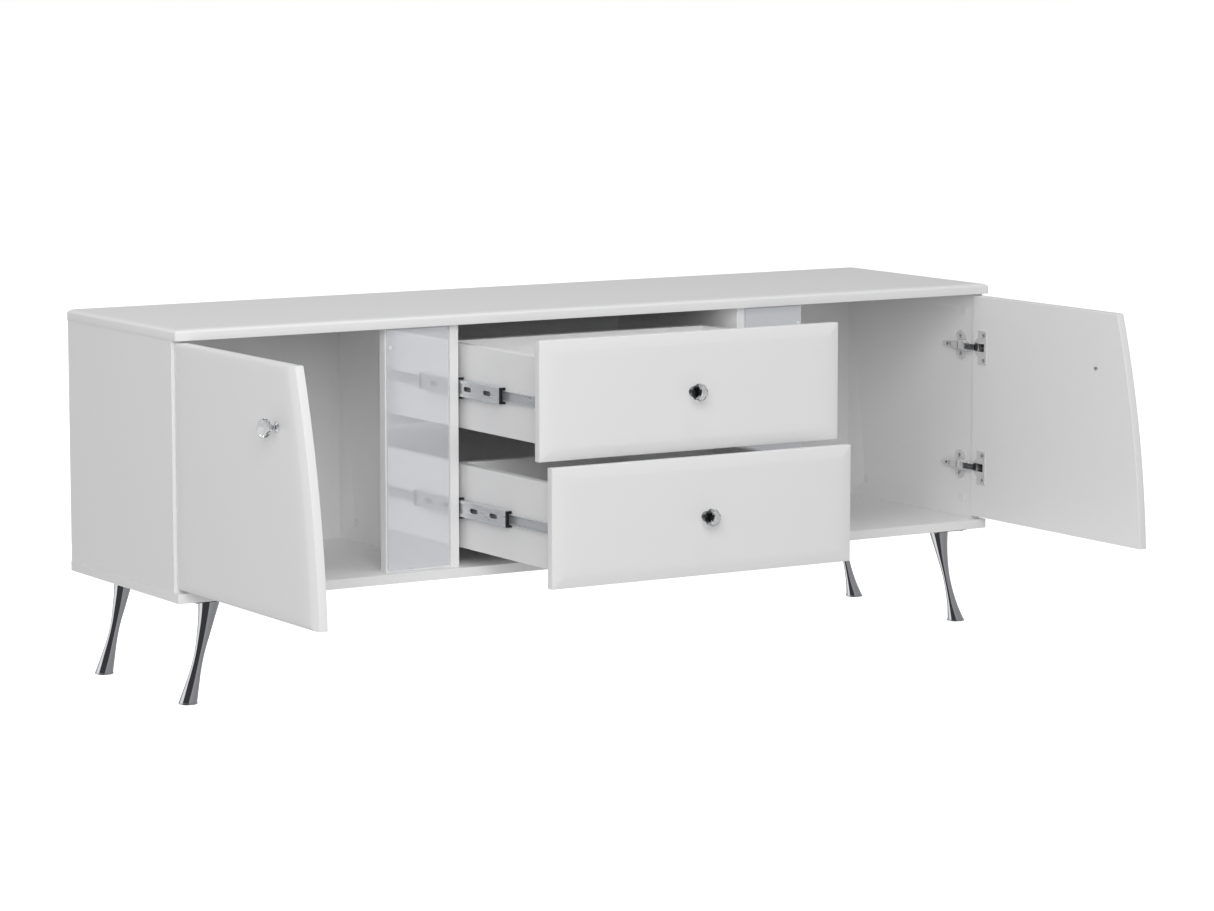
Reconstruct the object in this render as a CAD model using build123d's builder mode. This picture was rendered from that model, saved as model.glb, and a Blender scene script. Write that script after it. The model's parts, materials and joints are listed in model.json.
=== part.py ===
"""Low TV stand with two doors, two drawers and four splayed metal legs.

Millimetres. +X runs along the front, +Y to the back and +Z up. The origin is on the floor, under the
middle of the cabinet. The doors stand open at a right angle and the drawers are pulled out: that is the
rest pose, and every joint starts from it.
"""

import os
from math import atan2, degrees

from build123d import *

# ---------------------------------------------------------------- cabinet
length = 1600.0
depth = 410.0
leg_height = 171.0
board = 16.0  # bottom, sides, dividers and drawer boards
top_board = 18.0
opening_height = 405.0  # between the bottom and the top
front_y = -depth / 2
back_y = depth / 2
floor_z = leg_height + board  # upper face of the bottom board
ceiling_z = floor_z + opening_height
top_z = ceiling_z + top_board
edge_width = 14.0  # soft edge of the top, across
edge_drop = 5.0  # and down
corner_radius = 2.0  # front corners of the bottom
side_outer_x = length / 2 - 1.0
side_inner_x = side_outer_x - board
setback = 18.0  # sides and dividers stand this far behind the front edge of the top
panel_front_y = front_y + setback
back_sheet = 3.0
panel_back_y = back_y - back_sheet
divider_inner_x = 275.5
divider_outer_x = divider_inner_x + board

# ---------------------------------------------------------------- mirrors beside the drawers
mirror_board_width = 120.0
mirror_board_thickness = 18.0
mirror_thickness = 3.0
mirror_front_y = front_y + 19.0
mirror_board_front_y = mirror_front_y + mirror_thickness
mirror_margin = 2.0
mirror_lift = 3.5
bumper_radius = 3.5
bumper_height = 1.6
bumper_x = 403.0
bumper_z = leg_height + 388.0

# ---------------------------------------------------------------- doors
front_board = 18.0  # doors and drawer fronts
closed_face_y = front_y - 1.0  # outer face of everything that is shut
door_bottom_z = leg_height + 22.0
door_top_z = leg_height + 417.5
door_edge_x = 798.0  # hinge edge of a shut door
open_face_x = 795.0  # outer face of a door that stands open
open_edge_y = front_y + 15.0  # hinge edge of a door that stands open
door_width_bottom = 479.2
door_width_middle = 456.4
door_width_top = 407.8
door_bevel_width = 22.0  # wide soft edge on the curved side
door_bevel_depth = 4.0
knob_from_edge = 353.0
knob_z = leg_height + 320.0

# ---------------------------------------------------------------- concealed hinges
hinge_heights = (leg_height + 111.0, leg_height + 326.0)
arm_pivot_x = 772.0  # fixed pivot, on the hinge arm
arm_pivot_y = front_y + 29.0
cup_radius = 17.5
cup_depth = 12.0
cup_from_edge = 21.5
cup_screw_from_edge = 34.0
cup_screw_pitch = 45.0
cup_slot_width = 14.0
cup_slot_end = 35.0
cup_floor = 1.5
cup_pivot_inwards = 2.0  # cup pivot, in from the inner face of the door
wing_thickness = 1.2
wing_near = 17.0
wing_far = 41.0
wing_height = 60.0
link_width = 10.0
link_thickness = 2.0
link_eye = 2.4
elbow_from_edge = 9.0  # where the link bends, seen from the open door
elbow_outside = 3.6
pin_radius = 1.3
pin_clearance = 0.05
pin_seat = 0.5  # how far a pin is set into the metal at each end
cheek_gap = 10.6
cheek = 2.2
plate_thickness = 2.5
plate_screw_back = 37.0  # screw line behind the front edge of the side
plate_screw_pitch = 32.0
plate_bar_width = 12.0
plate_bar_overhang = 20.0
plate_bar_corner = 4.0
plate_foot_length = 34.0
plate_foot_height = 15.0
plate_foot_corner = 3.0
plate_foot_shift = 6.0
screw_head = 3.6
screw_head_height = 1.8
screw_head_taper = 20.0
cup_screw_head_height = 1.2
arm_height = side_inner_x - arm_pivot_x
# a hinge arm from above: how far past its pivot from the side, and how far behind the pivot
arm_outline = (
    (plate_thickness - arm_height, 56.0),
    (plate_thickness - arm_height, 12.0),
    (-3.5, -3.0),
    (3.0, -3.0),
    (4.0, 3.0),
    (0.5, 14.0),
    (-2.0, 52.0),
    (-6.0, 60.0),
)
# the hollow between its cheeks, in the same way
arm_hollow = (
    (-arm_height, -6.0),
    (6.0, -6.0),
    (6.0, 4.0),
    (-3.0, 9.0),
    (-arm_height, 9.0),
)

# ---------------------------------------------------------------- drawers
drawer_front_half = 289.0
drawer_front_height = 195.0
lower_front_z = leg_height + 22.0
upper_front_z = leg_height + 222.5
upper_pull = 269.0  # how far each drawer stands out at rest
lower_pull = 308.0
drawer_bevel_width = 19.0
drawer_bevel_depth = 3.0
box_half = 262.8
box_length = 350.0
box_height = 140.0
box_lift = 23.0  # box above the lower edge of the front
drawer_bottom = 3.0
groove_lift = 8.0
groove_depth = 5.0
drawer_knob_lift = 97.5

# ---------------------------------------------------------------- ball slides
slide_lift = 68.0  # middle of the slide above the lower edge of the box
slide_sheet = 1.2
cabinet_member_height = 35.0
cabinet_member_width = 10.6
cabinet_member_lip = 1.6
middle_member_height = 27.0
middle_member_start = 2.0
middle_member_end = 10.8
drawer_member_height = 17.6
drawer_member_width = 6.2
cabinet_member_length = 350.0
middle_member_length = 340.0
drawer_member_length = 345.0
cabinet_member_setback = 6.0
stop_length = 4.5
cage_length = 5.0
slot_start = 42.0
slot_length = 25.0
slot_height = 8.0
slot_spacing = 64.0
slot_count = 5
race_height = 4.0  # rolled ball races above and below the sunk web of a middle rail
web_sink = 1.4
rail_setback = 1.0  # front end of a moving rail, behind what it shuts against
plastic_proud = 0.6  # plastic ends stand past their rails
cage_window_start = 5.6
cage_window_gap = 0.5

# ---------------------------------------------------------------- knobs
knob_base_radius = 8.5
knob_neck_radius = 3.3
knob_seat_radius = 6.0
knob_neck_at = 6.0
knob_seat_at = 11.0
knob_rim = 0.8
knob_trumpet = (1.3, 2.6)  # past the neck's radius, and height, halfway along the trumpet
knob_flare = (0.9, 9.2)  # the same for the flare under the seat
crystal_radius = 15.0
crystal_table_radius = 8.5
crystal_girdle_at = 19.5
crystal_crown_at = 23.5
crystal_top_at = 31.0
crystal_sides = 12
knob_screw_radius = 2.0
knob_screw_head = 4.2
knob_screw_head_height = 2.2
knob_thread = 8.0
knob_thread_end = 0.5

# ---------------------------------------------------------------- legs
leg_top_x = 725.5
leg_splay = 41.0
leg_splay_power = 1.2
leg_front_inset = 42.0
leg_back_inset = 50.0
leg_plate = 3.0
plate_centre_x = 729.5
plate_size_x = 74.0
plate_size_y = 64.0
plate_corner = 6.0
leg_screw_inset = 8.0
foot_pad = 3.0
foot_pad_radius = 15.5
leg_turn = 35.0  # the flat of the waist is turned this far, in degrees
# drop below the cabinet, long half-width and short half-width
leg_sections = (
    (3.0, 18.0, 17.4),
    (30.0, 14.0, 12.7),
    (60.0, 10.8, 8.5),
    (90.0, 8.4, 6.1),
    (115.0, 9.0, 6.5),
    (142.0, 11.8, 9.0),
    (168.0, 15.0, 14.2),
)

# ---------------------------------------------------------------- fittings
cam_radius = 7.5
cam_bore = 7.6
cam_depth = 12.5
cam_cap_radius = 8.5
cam_cap = 0.8
cam_from_end = 34.0
cam_rows_y = (front_y + 51.0, front_y + 347.0)

os.makedirs("parts", exist_ok=True)


def save(part, name):
    """Label a finished piece and write it under its own name."""
    part.label = name
    export_step(part, f"parts/{name}.step")


def box_between(low, high, mode=Mode.ADD):
    """A box from its lowest to its highest corner, inside the part being built."""
    low_corner = [min(a, b) for a, b in zip(low, high)]
    high_corner = [max(a, b) for a, b in zip(low, high)]
    size = [b - a for a, b in zip(low_corner, high_corner)]
    with Locations(tuple(low_corner)):
        Box(*size, align=(Align.MIN, Align.MIN, Align.MIN), mode=mode)


def along_x(side, x, y, z):
    """Plane at a point, looking outwards along X on the given side, with its own x along -Y."""
    return Plane(origin=(side * x, y, z), x_dir=(0, -1, 0), z_dir=(side, 0, 0))


def seen_from_above(side, x, z):
    """Level plane whose own x runs from a face towards the middle of the cabinet, and whose y is +Y."""
    return Plane(origin=(side * x, 0, z), x_dir=(-side, 0, 0), z_dir=(0, 0, -side))


# ================================================================ carcass
def soft_edge(side, end, at_z):
    """Upper quarter of an ellipse that rolls a board's edge down, in the sketch's own plane."""
    return EllipticalCenterArc(
        (end - side * edge_width, at_z - edge_drop),
        edge_width,
        edge_drop,
        start_angle=0 if side > 0 else 90,
        arc_size=90,
    )


def make_top_panel():
    """The top: a soft edge runs along the front and the two ends, and the back edge is square."""
    half = length / 2
    shoulder_z = top_z - edge_drop
    with BuildPart() as top:
        with BuildSketch(Plane.XZ.offset(-back_y)):
            with BuildLine():
                Polyline(
                    (-half, shoulder_z), (-half, ceiling_z), (half, ceiling_z), (half, shoulder_z)
                )
                soft_edge(1, half, top_z)
                Line((half - edge_width, top_z), (-half + edge_width, top_z))
                soft_edge(-1, -half, top_z)
            make_face()
        extrude(amount=depth)
        with BuildSketch(Plane.YZ):
            with BuildLine():
                Polyline((front_y, shoulder_z), (front_y, top_z), (front_y + edge_width, top_z))
                soft_edge(-1, front_y, top_z)
            make_face()
        extrude(amount=length, both=True, mode=Mode.SUBTRACT)
    return top.part


def make_bottom_panel():
    """The bottom: a plain board with small rounded uprights at the front."""
    with BuildPart() as bottom:
        box_between((-length / 2, front_y, leg_height), (length / 2, back_y, floor_z))
        fillet(bottom.edges().filter_by(Axis.Z).group_by(Axis.Y)[0], radius=corner_radius)
    return bottom.part


def cam_plane(side, x, y, z, inwards):
    """Where a cam sits in the face of an upright board: inwards is +1 if the face looks to the middle."""
    return Plane(origin=(side * x, y, z), x_dir=(0, 1, 0), z_dir=(-side * inwards, 0, 0))


def cam_places():
    """Every cam fitting: two rows at each end of each upright board."""
    places = []
    for side in (-1, 1):
        for x, inwards in ((side_inner_x, 1), (divider_outer_x, -1)):
            for y in cam_rows_y:
                for z in (floor_z + cam_from_end, ceiling_z - cam_from_end):
                    places.append((side, x, inwards, cam_plane(side, x, y, z, inwards)))
    return places


def make_upright(side, inner_x, outer_x, cam_x):
    """A side or a divider, bored for its cam fittings."""
    with BuildPart() as upright:
        box_between(
            (side * inner_x, panel_front_y, floor_z),
            (side * outer_x, panel_back_y, ceiling_z),
        )
        for cam_side, x, _, plane in cam_places():
            if cam_side == side and x == cam_x:
                with BuildSketch(plane):
                    Circle(cam_bore)
                extrude(amount=-cam_depth, mode=Mode.SUBTRACT)
    return upright.part


def make_cam_fittings():
    """Cams with their cover caps, one in each bore."""
    with BuildPart() as cams:
        for _, _, _, plane in cam_places():
            with BuildSketch(plane):
                Circle(cam_radius)
            extrude(amount=-cam_depth)
            with BuildSketch(plane):
                Circle(cam_cap_radius)
            extrude(amount=cam_cap)
    return cams.part


def make_back_panel():
    """The thin back, on the rear edges of the uprights."""
    with BuildPart() as back:
        box_between((-side_outer_x, panel_back_y, floor_z), (side_outer_x, back_y, ceiling_z))
    return back.part


def make_mirror_board(side):
    """The upright board beside the drawers that carries a mirror."""
    with BuildPart() as carrier:
        box_between(
            (side * divider_outer_x, mirror_board_front_y, floor_z),
            (
                side * (divider_outer_x + mirror_board_width),
                mirror_board_front_y + mirror_board_thickness,
                ceiling_z,
            ),
        )
    return carrier.part


def make_mirror(side):
    """The mirror glass on the front of its board."""
    with BuildPart() as glass:
        box_between(
            (side * (divider_outer_x + mirror_margin), mirror_front_y, floor_z + mirror_lift),
            (
                side * (divider_outer_x + mirror_board_width - mirror_margin),
                mirror_board_front_y,
                ceiling_z - mirror_lift,
            ),
        )
    return glass.part


def make_door_bumpers():
    """A small soft bumper on each mirror, where the shut door rests."""
    with BuildPart() as bumpers:
        for side in (-1, 1):
            spot = Plane(origin=(side * bumper_x, mirror_front_y, bumper_z), z_dir=(0, -1, 0))
            with BuildSketch(spot):
                Circle(bumper_radius)
            extrude(amount=bumper_height)
    return bumpers.part


# ================================================================ legs
def leg_spots():
    """The four legs: name, side and y."""
    rows = (("front", front_y + leg_front_inset), ("back", back_y - leg_back_inset))
    sides = (("left", -1), ("right", 1))
    return [(f"{row}_{name}_leg", side, y) for row, y in rows for name, side in sides]


def leg_centre(side, drop):
    """X of the leg's middle at a drop below the cabinet."""
    share = (drop - leg_plate) / (leg_height - leg_plate)
    return side * (leg_top_x + leg_splay * share**leg_splay_power)


def make_leg(side, y):
    """One cast leg: an hourglass, round at both ends and flat at the waist, that leans outwards."""
    with BuildPart() as leg:
        for drop, long_half, short_half in leg_sections:
            level = Plane(origin=(leg_centre(side, drop), y, leg_height - drop))
            with BuildSketch(level):
                Ellipse(long_half, short_half, rotation=side * leg_turn)
        loft()
    return leg.part


def make_leg_plates():
    """The screwed plates between the cabinet and the legs."""
    with BuildPart() as plates:
        for _, side, y in leg_spots():
            centre = Plane(origin=(side * plate_centre_x, y, leg_height - leg_plate))
            with BuildSketch(centre):
                RectangleRounded(plate_size_x, plate_size_y, plate_corner)
            extrude(amount=leg_plate)
    return plates.part


def make_foot_pads():
    """The discs that the legs stand on."""
    with BuildPart() as pads:
        for _, side, y in leg_spots():
            with BuildSketch(Plane(origin=(leg_centre(side, leg_height - foot_pad), y, 0))):
                Circle(foot_pad_radius)
            extrude(amount=foot_pad)
    return pads.part


def make_leg_screws():
    """Four screw heads under each plate."""
    with BuildPart() as screws:
        for _, side, y in leg_spots():
            for dx in (-1, 1):
                for dy in (-1, 1):
                    x = side * plate_centre_x + dx * (plate_size_x / 2 - leg_screw_inset)
                    screw_y = y + dy * (plate_size_y / 2 - leg_screw_inset)
                    spot = (x, screw_y, leg_height - leg_plate)
                    with BuildSketch(Plane(origin=spot, z_dir=(0, 0, -1))):
                        Circle(screw_head)
                    extrude(amount=screw_head_height, taper=screw_head_taper)
    return screws.part


# ================================================================ knobs
def make_knob_base(plane):
    """The metal foot of a knob: a trumpet on the front, a narrow neck and a seat for the crystal."""
    with BuildPart() as base:
        with BuildSketch(Plane.XZ) as profile:
            with BuildLine():
                bore = knob_screw_radius + pin_clearance
                Polyline((bore, 0), (knob_base_radius, 0), (knob_base_radius, knob_rim))
                ThreePointArc(
                    (knob_base_radius, knob_rim),
                    (knob_neck_radius + knob_trumpet[0], knob_trumpet[1]),
                    (knob_neck_radius, knob_neck_at),
                )
                ThreePointArc(
                    (knob_neck_radius, knob_neck_at),
                    (knob_neck_radius + knob_flare[0], knob_flare[1]),
                    (knob_seat_radius, knob_seat_at),
                )
                Polyline(
                    (knob_seat_radius, knob_seat_at),
                    (0, knob_seat_at),
                    (0, knob_thread),
                    (bore, knob_thread),
                    (bore, 0),
                )
            make_face()
        revolve(axis=Axis.Z)
    return base.part.moved(plane.location)


def make_crystal(plane):
    """The cut glass head: a faceted cone below the girdle and a bevelled crown above it."""
    with BuildPart() as crystal:
        for height, radius in (
            (knob_seat_at, knob_seat_radius),
            (crystal_girdle_at, crystal_radius),
        ):
            with BuildSketch(Plane.XY.offset(height)):
                RegularPolygon(radius, crystal_sides)
        loft(ruled=True)
        with BuildSketch(Plane.XY.offset(crystal_girdle_at)):
            RegularPolygon(crystal_radius, crystal_sides)
        extrude(amount=crystal_crown_at - crystal_girdle_at)
        for height, radius in (
            (crystal_crown_at, crystal_radius),
            (crystal_top_at, crystal_table_radius),
        ):
            with BuildSketch(Plane.XY.offset(height)):
                RegularPolygon(radius, crystal_sides)
        loft(ruled=True)
    return crystal.part.moved(plane.location)


def make_knob_screw(plane):
    """The screw from behind the front board into the foot of the knob."""
    with BuildPart() as screw:
        with BuildSketch(Plane.XY.offset(-front_board)):
            Circle(knob_screw_radius)
        extrude(amount=front_board + knob_thread - knob_thread_end)
        with BuildSketch(Plane.XY.offset(-front_board)):
            Circle(knob_screw_head)
        extrude(amount=-knob_screw_head_height)
    return screw.part.moved(plane.location)


# ================================================================ doors
def door_point(side, from_edge, inwards, z):
    """A point by its distance from the hinge edge and from the inner face, into the door."""
    return (side * (open_face_x - front_board + inwards), open_edge_y - from_edge, z)


def knob_plane_on_door(side):
    """Where the knob stands on a door, pointing out of it."""
    origin = (side * open_face_x, open_edge_y - knob_from_edge, knob_z)
    return Plane(origin=origin, x_dir=(0, -1, 0), z_dir=(side, 0, 0))


def make_door(side):
    """A door board with one long curved edge, bored for its hinge cups and its knob."""
    inner_x = open_face_x - front_board
    face = Plane(origin=(side * inner_x, open_edge_y, 0), x_dir=(0, -1, 0), z_dir=(-1, 0, 0))
    middle_z = (door_bottom_z + door_top_z) / 2
    with BuildPart() as door:
        with BuildSketch(face):
            with BuildLine():
                Polyline(
                    (door_width_bottom, door_bottom_z),
                    (0, door_bottom_z),
                    (0, door_top_z),
                    (door_width_top, door_top_z),
                )
                ThreePointArc(
                    (door_width_top, door_top_z),
                    (door_width_middle, middle_z),
                    (door_width_bottom, door_bottom_z),
                )
            make_face()
        extrude(amount=-side * front_board)
        outer = door.faces().filter_by(Axis.X).sort_by(Axis.X)[-1 if side > 0 else 0]
        curved = outer.edges().filter_by(GeomType.CIRCLE)
        chamfer(curved, length=door_bevel_width, length2=door_bevel_depth, reference=outer)
        for z in hinge_heights:
            with BuildSketch(along_x(side, inner_x, open_edge_y - cup_from_edge, z)):
                Circle(cup_radius)
            extrude(amount=cup_depth, mode=Mode.SUBTRACT)
        with BuildSketch(along_x(side, inner_x, open_edge_y - knob_from_edge, knob_z)):
            Circle(knob_screw_radius + pin_clearance)
        extrude(amount=front_board, mode=Mode.SUBTRACT)
    return door.part


# The shut door turned a quarter about this pole is the open door.
pole_x = (door_edge_x - (open_edge_y - closed_face_y) + open_face_x) / 2
pole_y = (open_edge_y + closed_face_y - door_edge_x + open_face_x) / 2
# The cup pivot is where a link from the arm pivot is equally long with the door shut and open.
lean = (arm_pivot_y - pole_y) / (pole_x - arm_pivot_x)
shut_pivot_dy = closed_face_y + front_board - cup_pivot_inwards - pole_y
shut_pivot_dx = shut_pivot_dy * (1 - lean) / (1 + lean)
cup_pivot_x = pole_x - shut_pivot_dy
cup_pivot_y = pole_y - shut_pivot_dx
shut_pivot_x = pole_x - shut_pivot_dx
shut_pivot_y = pole_y + shut_pivot_dy
open_angle = degrees(atan2(cup_pivot_y - arm_pivot_y, arm_pivot_x - cup_pivot_x))
shut_angle = degrees(atan2(shut_pivot_y - arm_pivot_y, arm_pivot_x - shut_pivot_x))
link_swing = abs(open_angle - shut_angle)


def make_hinge_cups(side):
    """The two pressed cups of a door, with their screw wings and the pins that the links turn on."""
    with BuildPart() as cups:
        for z in hinge_heights:
            centre = along_x(side, open_face_x - front_board, open_edge_y - cup_from_edge, z)
            with BuildSketch(centre):
                Circle(cup_radius - pin_clearance)
            extrude(amount=cup_depth)
            box_between(
                door_point(side, wing_near, -wing_thickness, z - wing_height / 2),
                door_point(side, wing_far, 0, z + wing_height / 2),
            )
            half_slot = cup_slot_width / 2
            box_between(
                door_point(side, cup_from_edge - cup_radius, -2 * wing_thickness, z - half_slot),
                door_point(side, cup_slot_end, cup_depth - cup_floor, z + half_slot),
                mode=Mode.SUBTRACT,
            )
            with BuildSketch(seen_from_above(side, cup_pivot_x, z)):
                with Locations((0, cup_pivot_y)):
                    Circle(pin_radius)
            extrude(amount=half_slot + pin_seat, both=True)
    return cups.part


def make_cup_screws(side):
    """Two countersunk screws for each cup."""
    with BuildPart() as screws:
        for z in hinge_heights:
            for offset in (-cup_screw_pitch / 2, cup_screw_pitch / 2):
                spot = door_point(side, cup_screw_from_edge, -wing_thickness, z + offset)
                with BuildSketch(Plane(origin=spot, z_dir=(-side, 0, 0))):
                    Circle(screw_head)
                extrude(amount=cup_screw_head_height, taper=screw_head_taper)
    return screws.part


def make_hinge_links(side):
    """The links between arm and cup, one at each hinge: a bent bar with an eye at each end."""
    arm_eye = (0, arm_pivot_y)
    cup_eye = (arm_pivot_x - cup_pivot_x, cup_pivot_y)
    elbow = (arm_pivot_x - (open_face_x - front_board - elbow_outside), open_edge_y - elbow_from_edge)
    with BuildPart() as links:
        for z in hinge_heights:
            with BuildSketch(seen_from_above(side, arm_pivot_x, z)):
                with BuildLine():
                    bar = Polyline(arm_eye, elbow, cup_eye)
                trace(bar, line_width=link_thickness)
                with Locations(elbow):
                    Circle(link_thickness / 2)
                with Locations(arm_eye, cup_eye):
                    Circle(link_eye)
                with Locations(arm_eye, cup_eye):
                    Circle(pin_radius + pin_clearance, mode=Mode.SUBTRACT)
            extrude(amount=link_width / 2, both=True)
    return links.part


def make_hinge_arms():
    """The hinge arms on their plates: two cheeks under a web, with the fixed pin at the nose."""
    outline = [(arm_height + out, arm_pivot_y + behind) for out, behind in arm_outline]
    hollow = [(arm_height + out, arm_pivot_y + behind) for out, behind in arm_hollow]
    with BuildPart() as arms:
        for side in (-1, 1):
            for z in hinge_heights:
                level = seen_from_above(side, side_inner_x, z)
                with BuildSketch(level):
                    with BuildLine():
                        Polyline(*outline, close=True)
                    make_face()
                extrude(amount=cheek_gap / 2 + cheek, both=True)
                with BuildSketch(level):
                    with BuildLine():
                        Polyline(*hollow, close=True)
                    make_face()
                extrude(amount=cheek_gap / 2, both=True, mode=Mode.SUBTRACT)
                with BuildSketch(level):
                    with Locations((arm_height, arm_pivot_y)):
                        Circle(pin_radius)
                extrude(amount=cheek_gap / 2 + cheek / 2, both=True)
    return arms.part


def make_hinge_plates():
    """The cross-shaped mounting plates on the insides of the cabinet."""
    screw_y = panel_front_y + plate_screw_back
    with BuildPart() as plates:
        for side in (-1, 1):
            for z in hinge_heights:
                with BuildSketch(along_x(-side, -side_inner_x, screw_y, z)):
                    RectangleRounded(
                        plate_bar_width, plate_screw_pitch + plate_bar_overhang, plate_bar_corner
                    )
                    with Locations((plate_foot_shift, 0)):
                        RectangleRounded(plate_foot_length, plate_foot_height, plate_foot_corner)
                extrude(amount=plate_thickness)
    return plates.part


def make_plate_screws():
    """Two round-headed screws for each mounting plate."""
    screw_y = panel_front_y + plate_screw_back
    with BuildPart() as screws:
        for side in (-1, 1):
            for z in hinge_heights:
                for offset in (-plate_screw_pitch / 2, plate_screw_pitch / 2):
                    x = side_inner_x - plate_thickness
                    with BuildSketch(along_x(-side, -x, screw_y, z + offset)):
                        Circle(screw_head)
                    extrude(amount=screw_head_height, taper=screw_head_taper)
    return screws.part


# ================================================================ drawers
def make_drawer_front(front_z, pull):
    """A drawer front, bevelled all round its outer face."""
    y = closed_face_y - pull
    with BuildPart() as front:
        box_between(
            (-drawer_front_half, y, front_z),
            (drawer_front_half, y + front_board, front_z + drawer_front_height),
        )
        outer = front.faces().sort_by(Axis.Y)[0]
        chamfer(
            outer.edges(), length=drawer_bevel_width, length2=drawer_bevel_depth, reference=outer
        )
        groove_z = front_z + box_lift + groove_lift
        box_between(
            (-box_half + board - groove_depth, y + front_board - groove_depth, groove_z),
            (box_half - board + groove_depth, y + front_board, groove_z + drawer_bottom),
            mode=Mode.SUBTRACT,
        )
        with BuildSketch(knob_plane_on_drawer(front_z, pull)):
            Circle(knob_screw_radius + pin_clearance)
        extrude(amount=-front_board, mode=Mode.SUBTRACT)
    return front.part


def knob_plane_on_drawer(front_z, pull):
    """Where the knob stands on a drawer front, pointing to the front."""
    origin = (0, closed_face_y - pull, front_z + drawer_knob_lift)
    return Plane(origin=origin, x_dir=(1, 0, 0), z_dir=(0, -1, 0))


def make_drawer_sides(front_z, pull):
    """The two sides of a drawer box, grooved for its bottom."""
    y = closed_face_y - pull + front_board
    z = front_z + box_lift
    with BuildPart() as sides:
        for side in (-1, 1):
            box_between(
                (side * (box_half - board), y, z),
                (side * box_half, y + box_length, z + box_height),
            )
            box_between(
                (side * (box_half - board), y, z + groove_lift),
                (
                    side * (box_half - board + groove_depth),
                    y + box_length,
                    z + groove_lift + drawer_bottom,
                ),
                mode=Mode.SUBTRACT,
            )
    return sides.part


def make_drawer_back(front_z, pull):
    """The back of a drawer box, standing on the bottom sheet."""
    y = closed_face_y - pull + front_board + box_length
    z = front_z + box_lift
    with BuildPart() as back:
        box_between(
            (-box_half + board, y - board, z + groove_lift + drawer_bottom),
            (box_half - board, y, z + box_height),
        )
    return back.part


def make_drawer_bottom(front_z, pull):
    """The thin bottom sheet, in the grooves of the sides and the front."""
    y = closed_face_y - pull + front_board
    z = front_z + box_lift + groove_lift
    half = box_half - board + groove_depth
    with BuildPart() as sheet:
        box_between((-half, y - groove_depth, z), (half, y + box_length, z + drawer_bottom))
    return sheet.part


# ================================================================ ball slides
def slide_point(side, from_divider, y, z):
    """A point by its distance from the inner face of the divider."""
    return (side * (divider_inner_x - from_divider), y, z)


def slide_z(front_z):
    """Height of the middle of a drawer's slides."""
    return front_z + box_lift + slide_lift


def make_cabinet_members():
    """The outer rails of all four slides: open channels with turned-in lips."""
    y = panel_front_y + cabinet_member_setback
    end = y + cabinet_member_length
    half = cabinet_member_height / 2
    inner = half - slide_sheet
    lip = inner - cabinet_member_lip
    with BuildPart() as members:
        for front_z in (lower_front_z, upper_front_z):
            z = slide_z(front_z)
            for side in (-1, 1):
                box_between(
                    slide_point(side, 0, y, z - half),
                    slide_point(side, cabinet_member_width, end, z + half),
                )
                box_between(
                    slide_point(side, slide_sheet, y, z - inner),
                    slide_point(side, cabinet_member_width - slide_sheet, end, z + inner),
                    mode=Mode.SUBTRACT,
                )
                box_between(
                    slide_point(side, slide_sheet, y, z - lip),
                    slide_point(side, cabinet_member_width, end, z + lip),
                    mode=Mode.SUBTRACT,
                )
    return members.part


def make_slide_stops():
    """Plastic stops at the front ends of the outer rails."""
    end = panel_front_y + cabinet_member_setback
    half = cabinet_member_height / 2
    lip = half - slide_sheet - cabinet_member_lip
    with BuildPart() as stops:
        for front_z in (lower_front_z, upper_front_z):
            z = slide_z(front_z)
            for side in (-1, 1):
                box_between(
                    slide_point(side, 0, end - stop_length, z - half),
                    slide_point(side, cabinet_member_width + plastic_proud, end, z + half),
                )
                box_between(
                    slide_point(side, slide_sheet, end - stop_length, z - lip),
                    slide_point(side, cabinet_member_width + plastic_proud, end, z + lip),
                    mode=Mode.SUBTRACT,
                )
    return stops.part


def make_middle_members(front_z, pull):
    """The middle rails of a drawer's two slides: ball races with a sunk, slotted web between them."""
    y = panel_front_y + cabinet_member_setback - rail_setback - pull / 2
    end = y + middle_member_length
    z = slide_z(front_z)
    half = middle_member_height / 2
    inner = half - slide_sheet
    web_face = middle_member_start + web_sink
    with BuildPart() as members:
        for side in (-1, 1):
            box_between(
                slide_point(side, middle_member_start, y, z - half),
                slide_point(side, middle_member_end, end, z + half),
            )
            box_between(
                slide_point(side, web_face + slide_sheet, y, z - inner),
                slide_point(side, middle_member_end, end, z + inner),
                mode=Mode.SUBTRACT,
            )
            box_between(
                slide_point(side, middle_member_start, y, z - inner + race_height),
                slide_point(side, web_face, end, z + inner - race_height),
                mode=Mode.SUBTRACT,
            )
            first = slide_point(side, web_face, y, z)
            with BuildSketch(Plane(origin=first, x_dir=(0, 1, 0), z_dir=(-side, 0, 0))):
                for index in range(slot_count):
                    with Locations((slot_start + index * slot_spacing, 0)):
                        SlotOverall(slot_length, slot_height)
            extrude(amount=slide_sheet, mode=Mode.SUBTRACT)
    return members.part


def make_slide_cages(front_z, pull):
    """Plastic ends on the middle rails, open for the drawer rail."""
    end = panel_front_y + cabinet_member_setback - rail_setback - pull / 2
    z = slide_z(front_z)
    half = middle_member_height / 2
    window = drawer_member_height / 2 + cage_window_gap
    with BuildPart() as cages:
        for side in (-1, 1):
            box_between(
                slide_point(side, middle_member_start, end - cage_length, z - half),
                slide_point(side, middle_member_end + plastic_proud, end, z + half),
            )
            box_between(
                slide_point(side, cage_window_start, end - cage_length, z - window),
                slide_point(side, middle_member_end + plastic_proud, end, z + window),
                mode=Mode.SUBTRACT,
            )
    return cages.part


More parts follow.
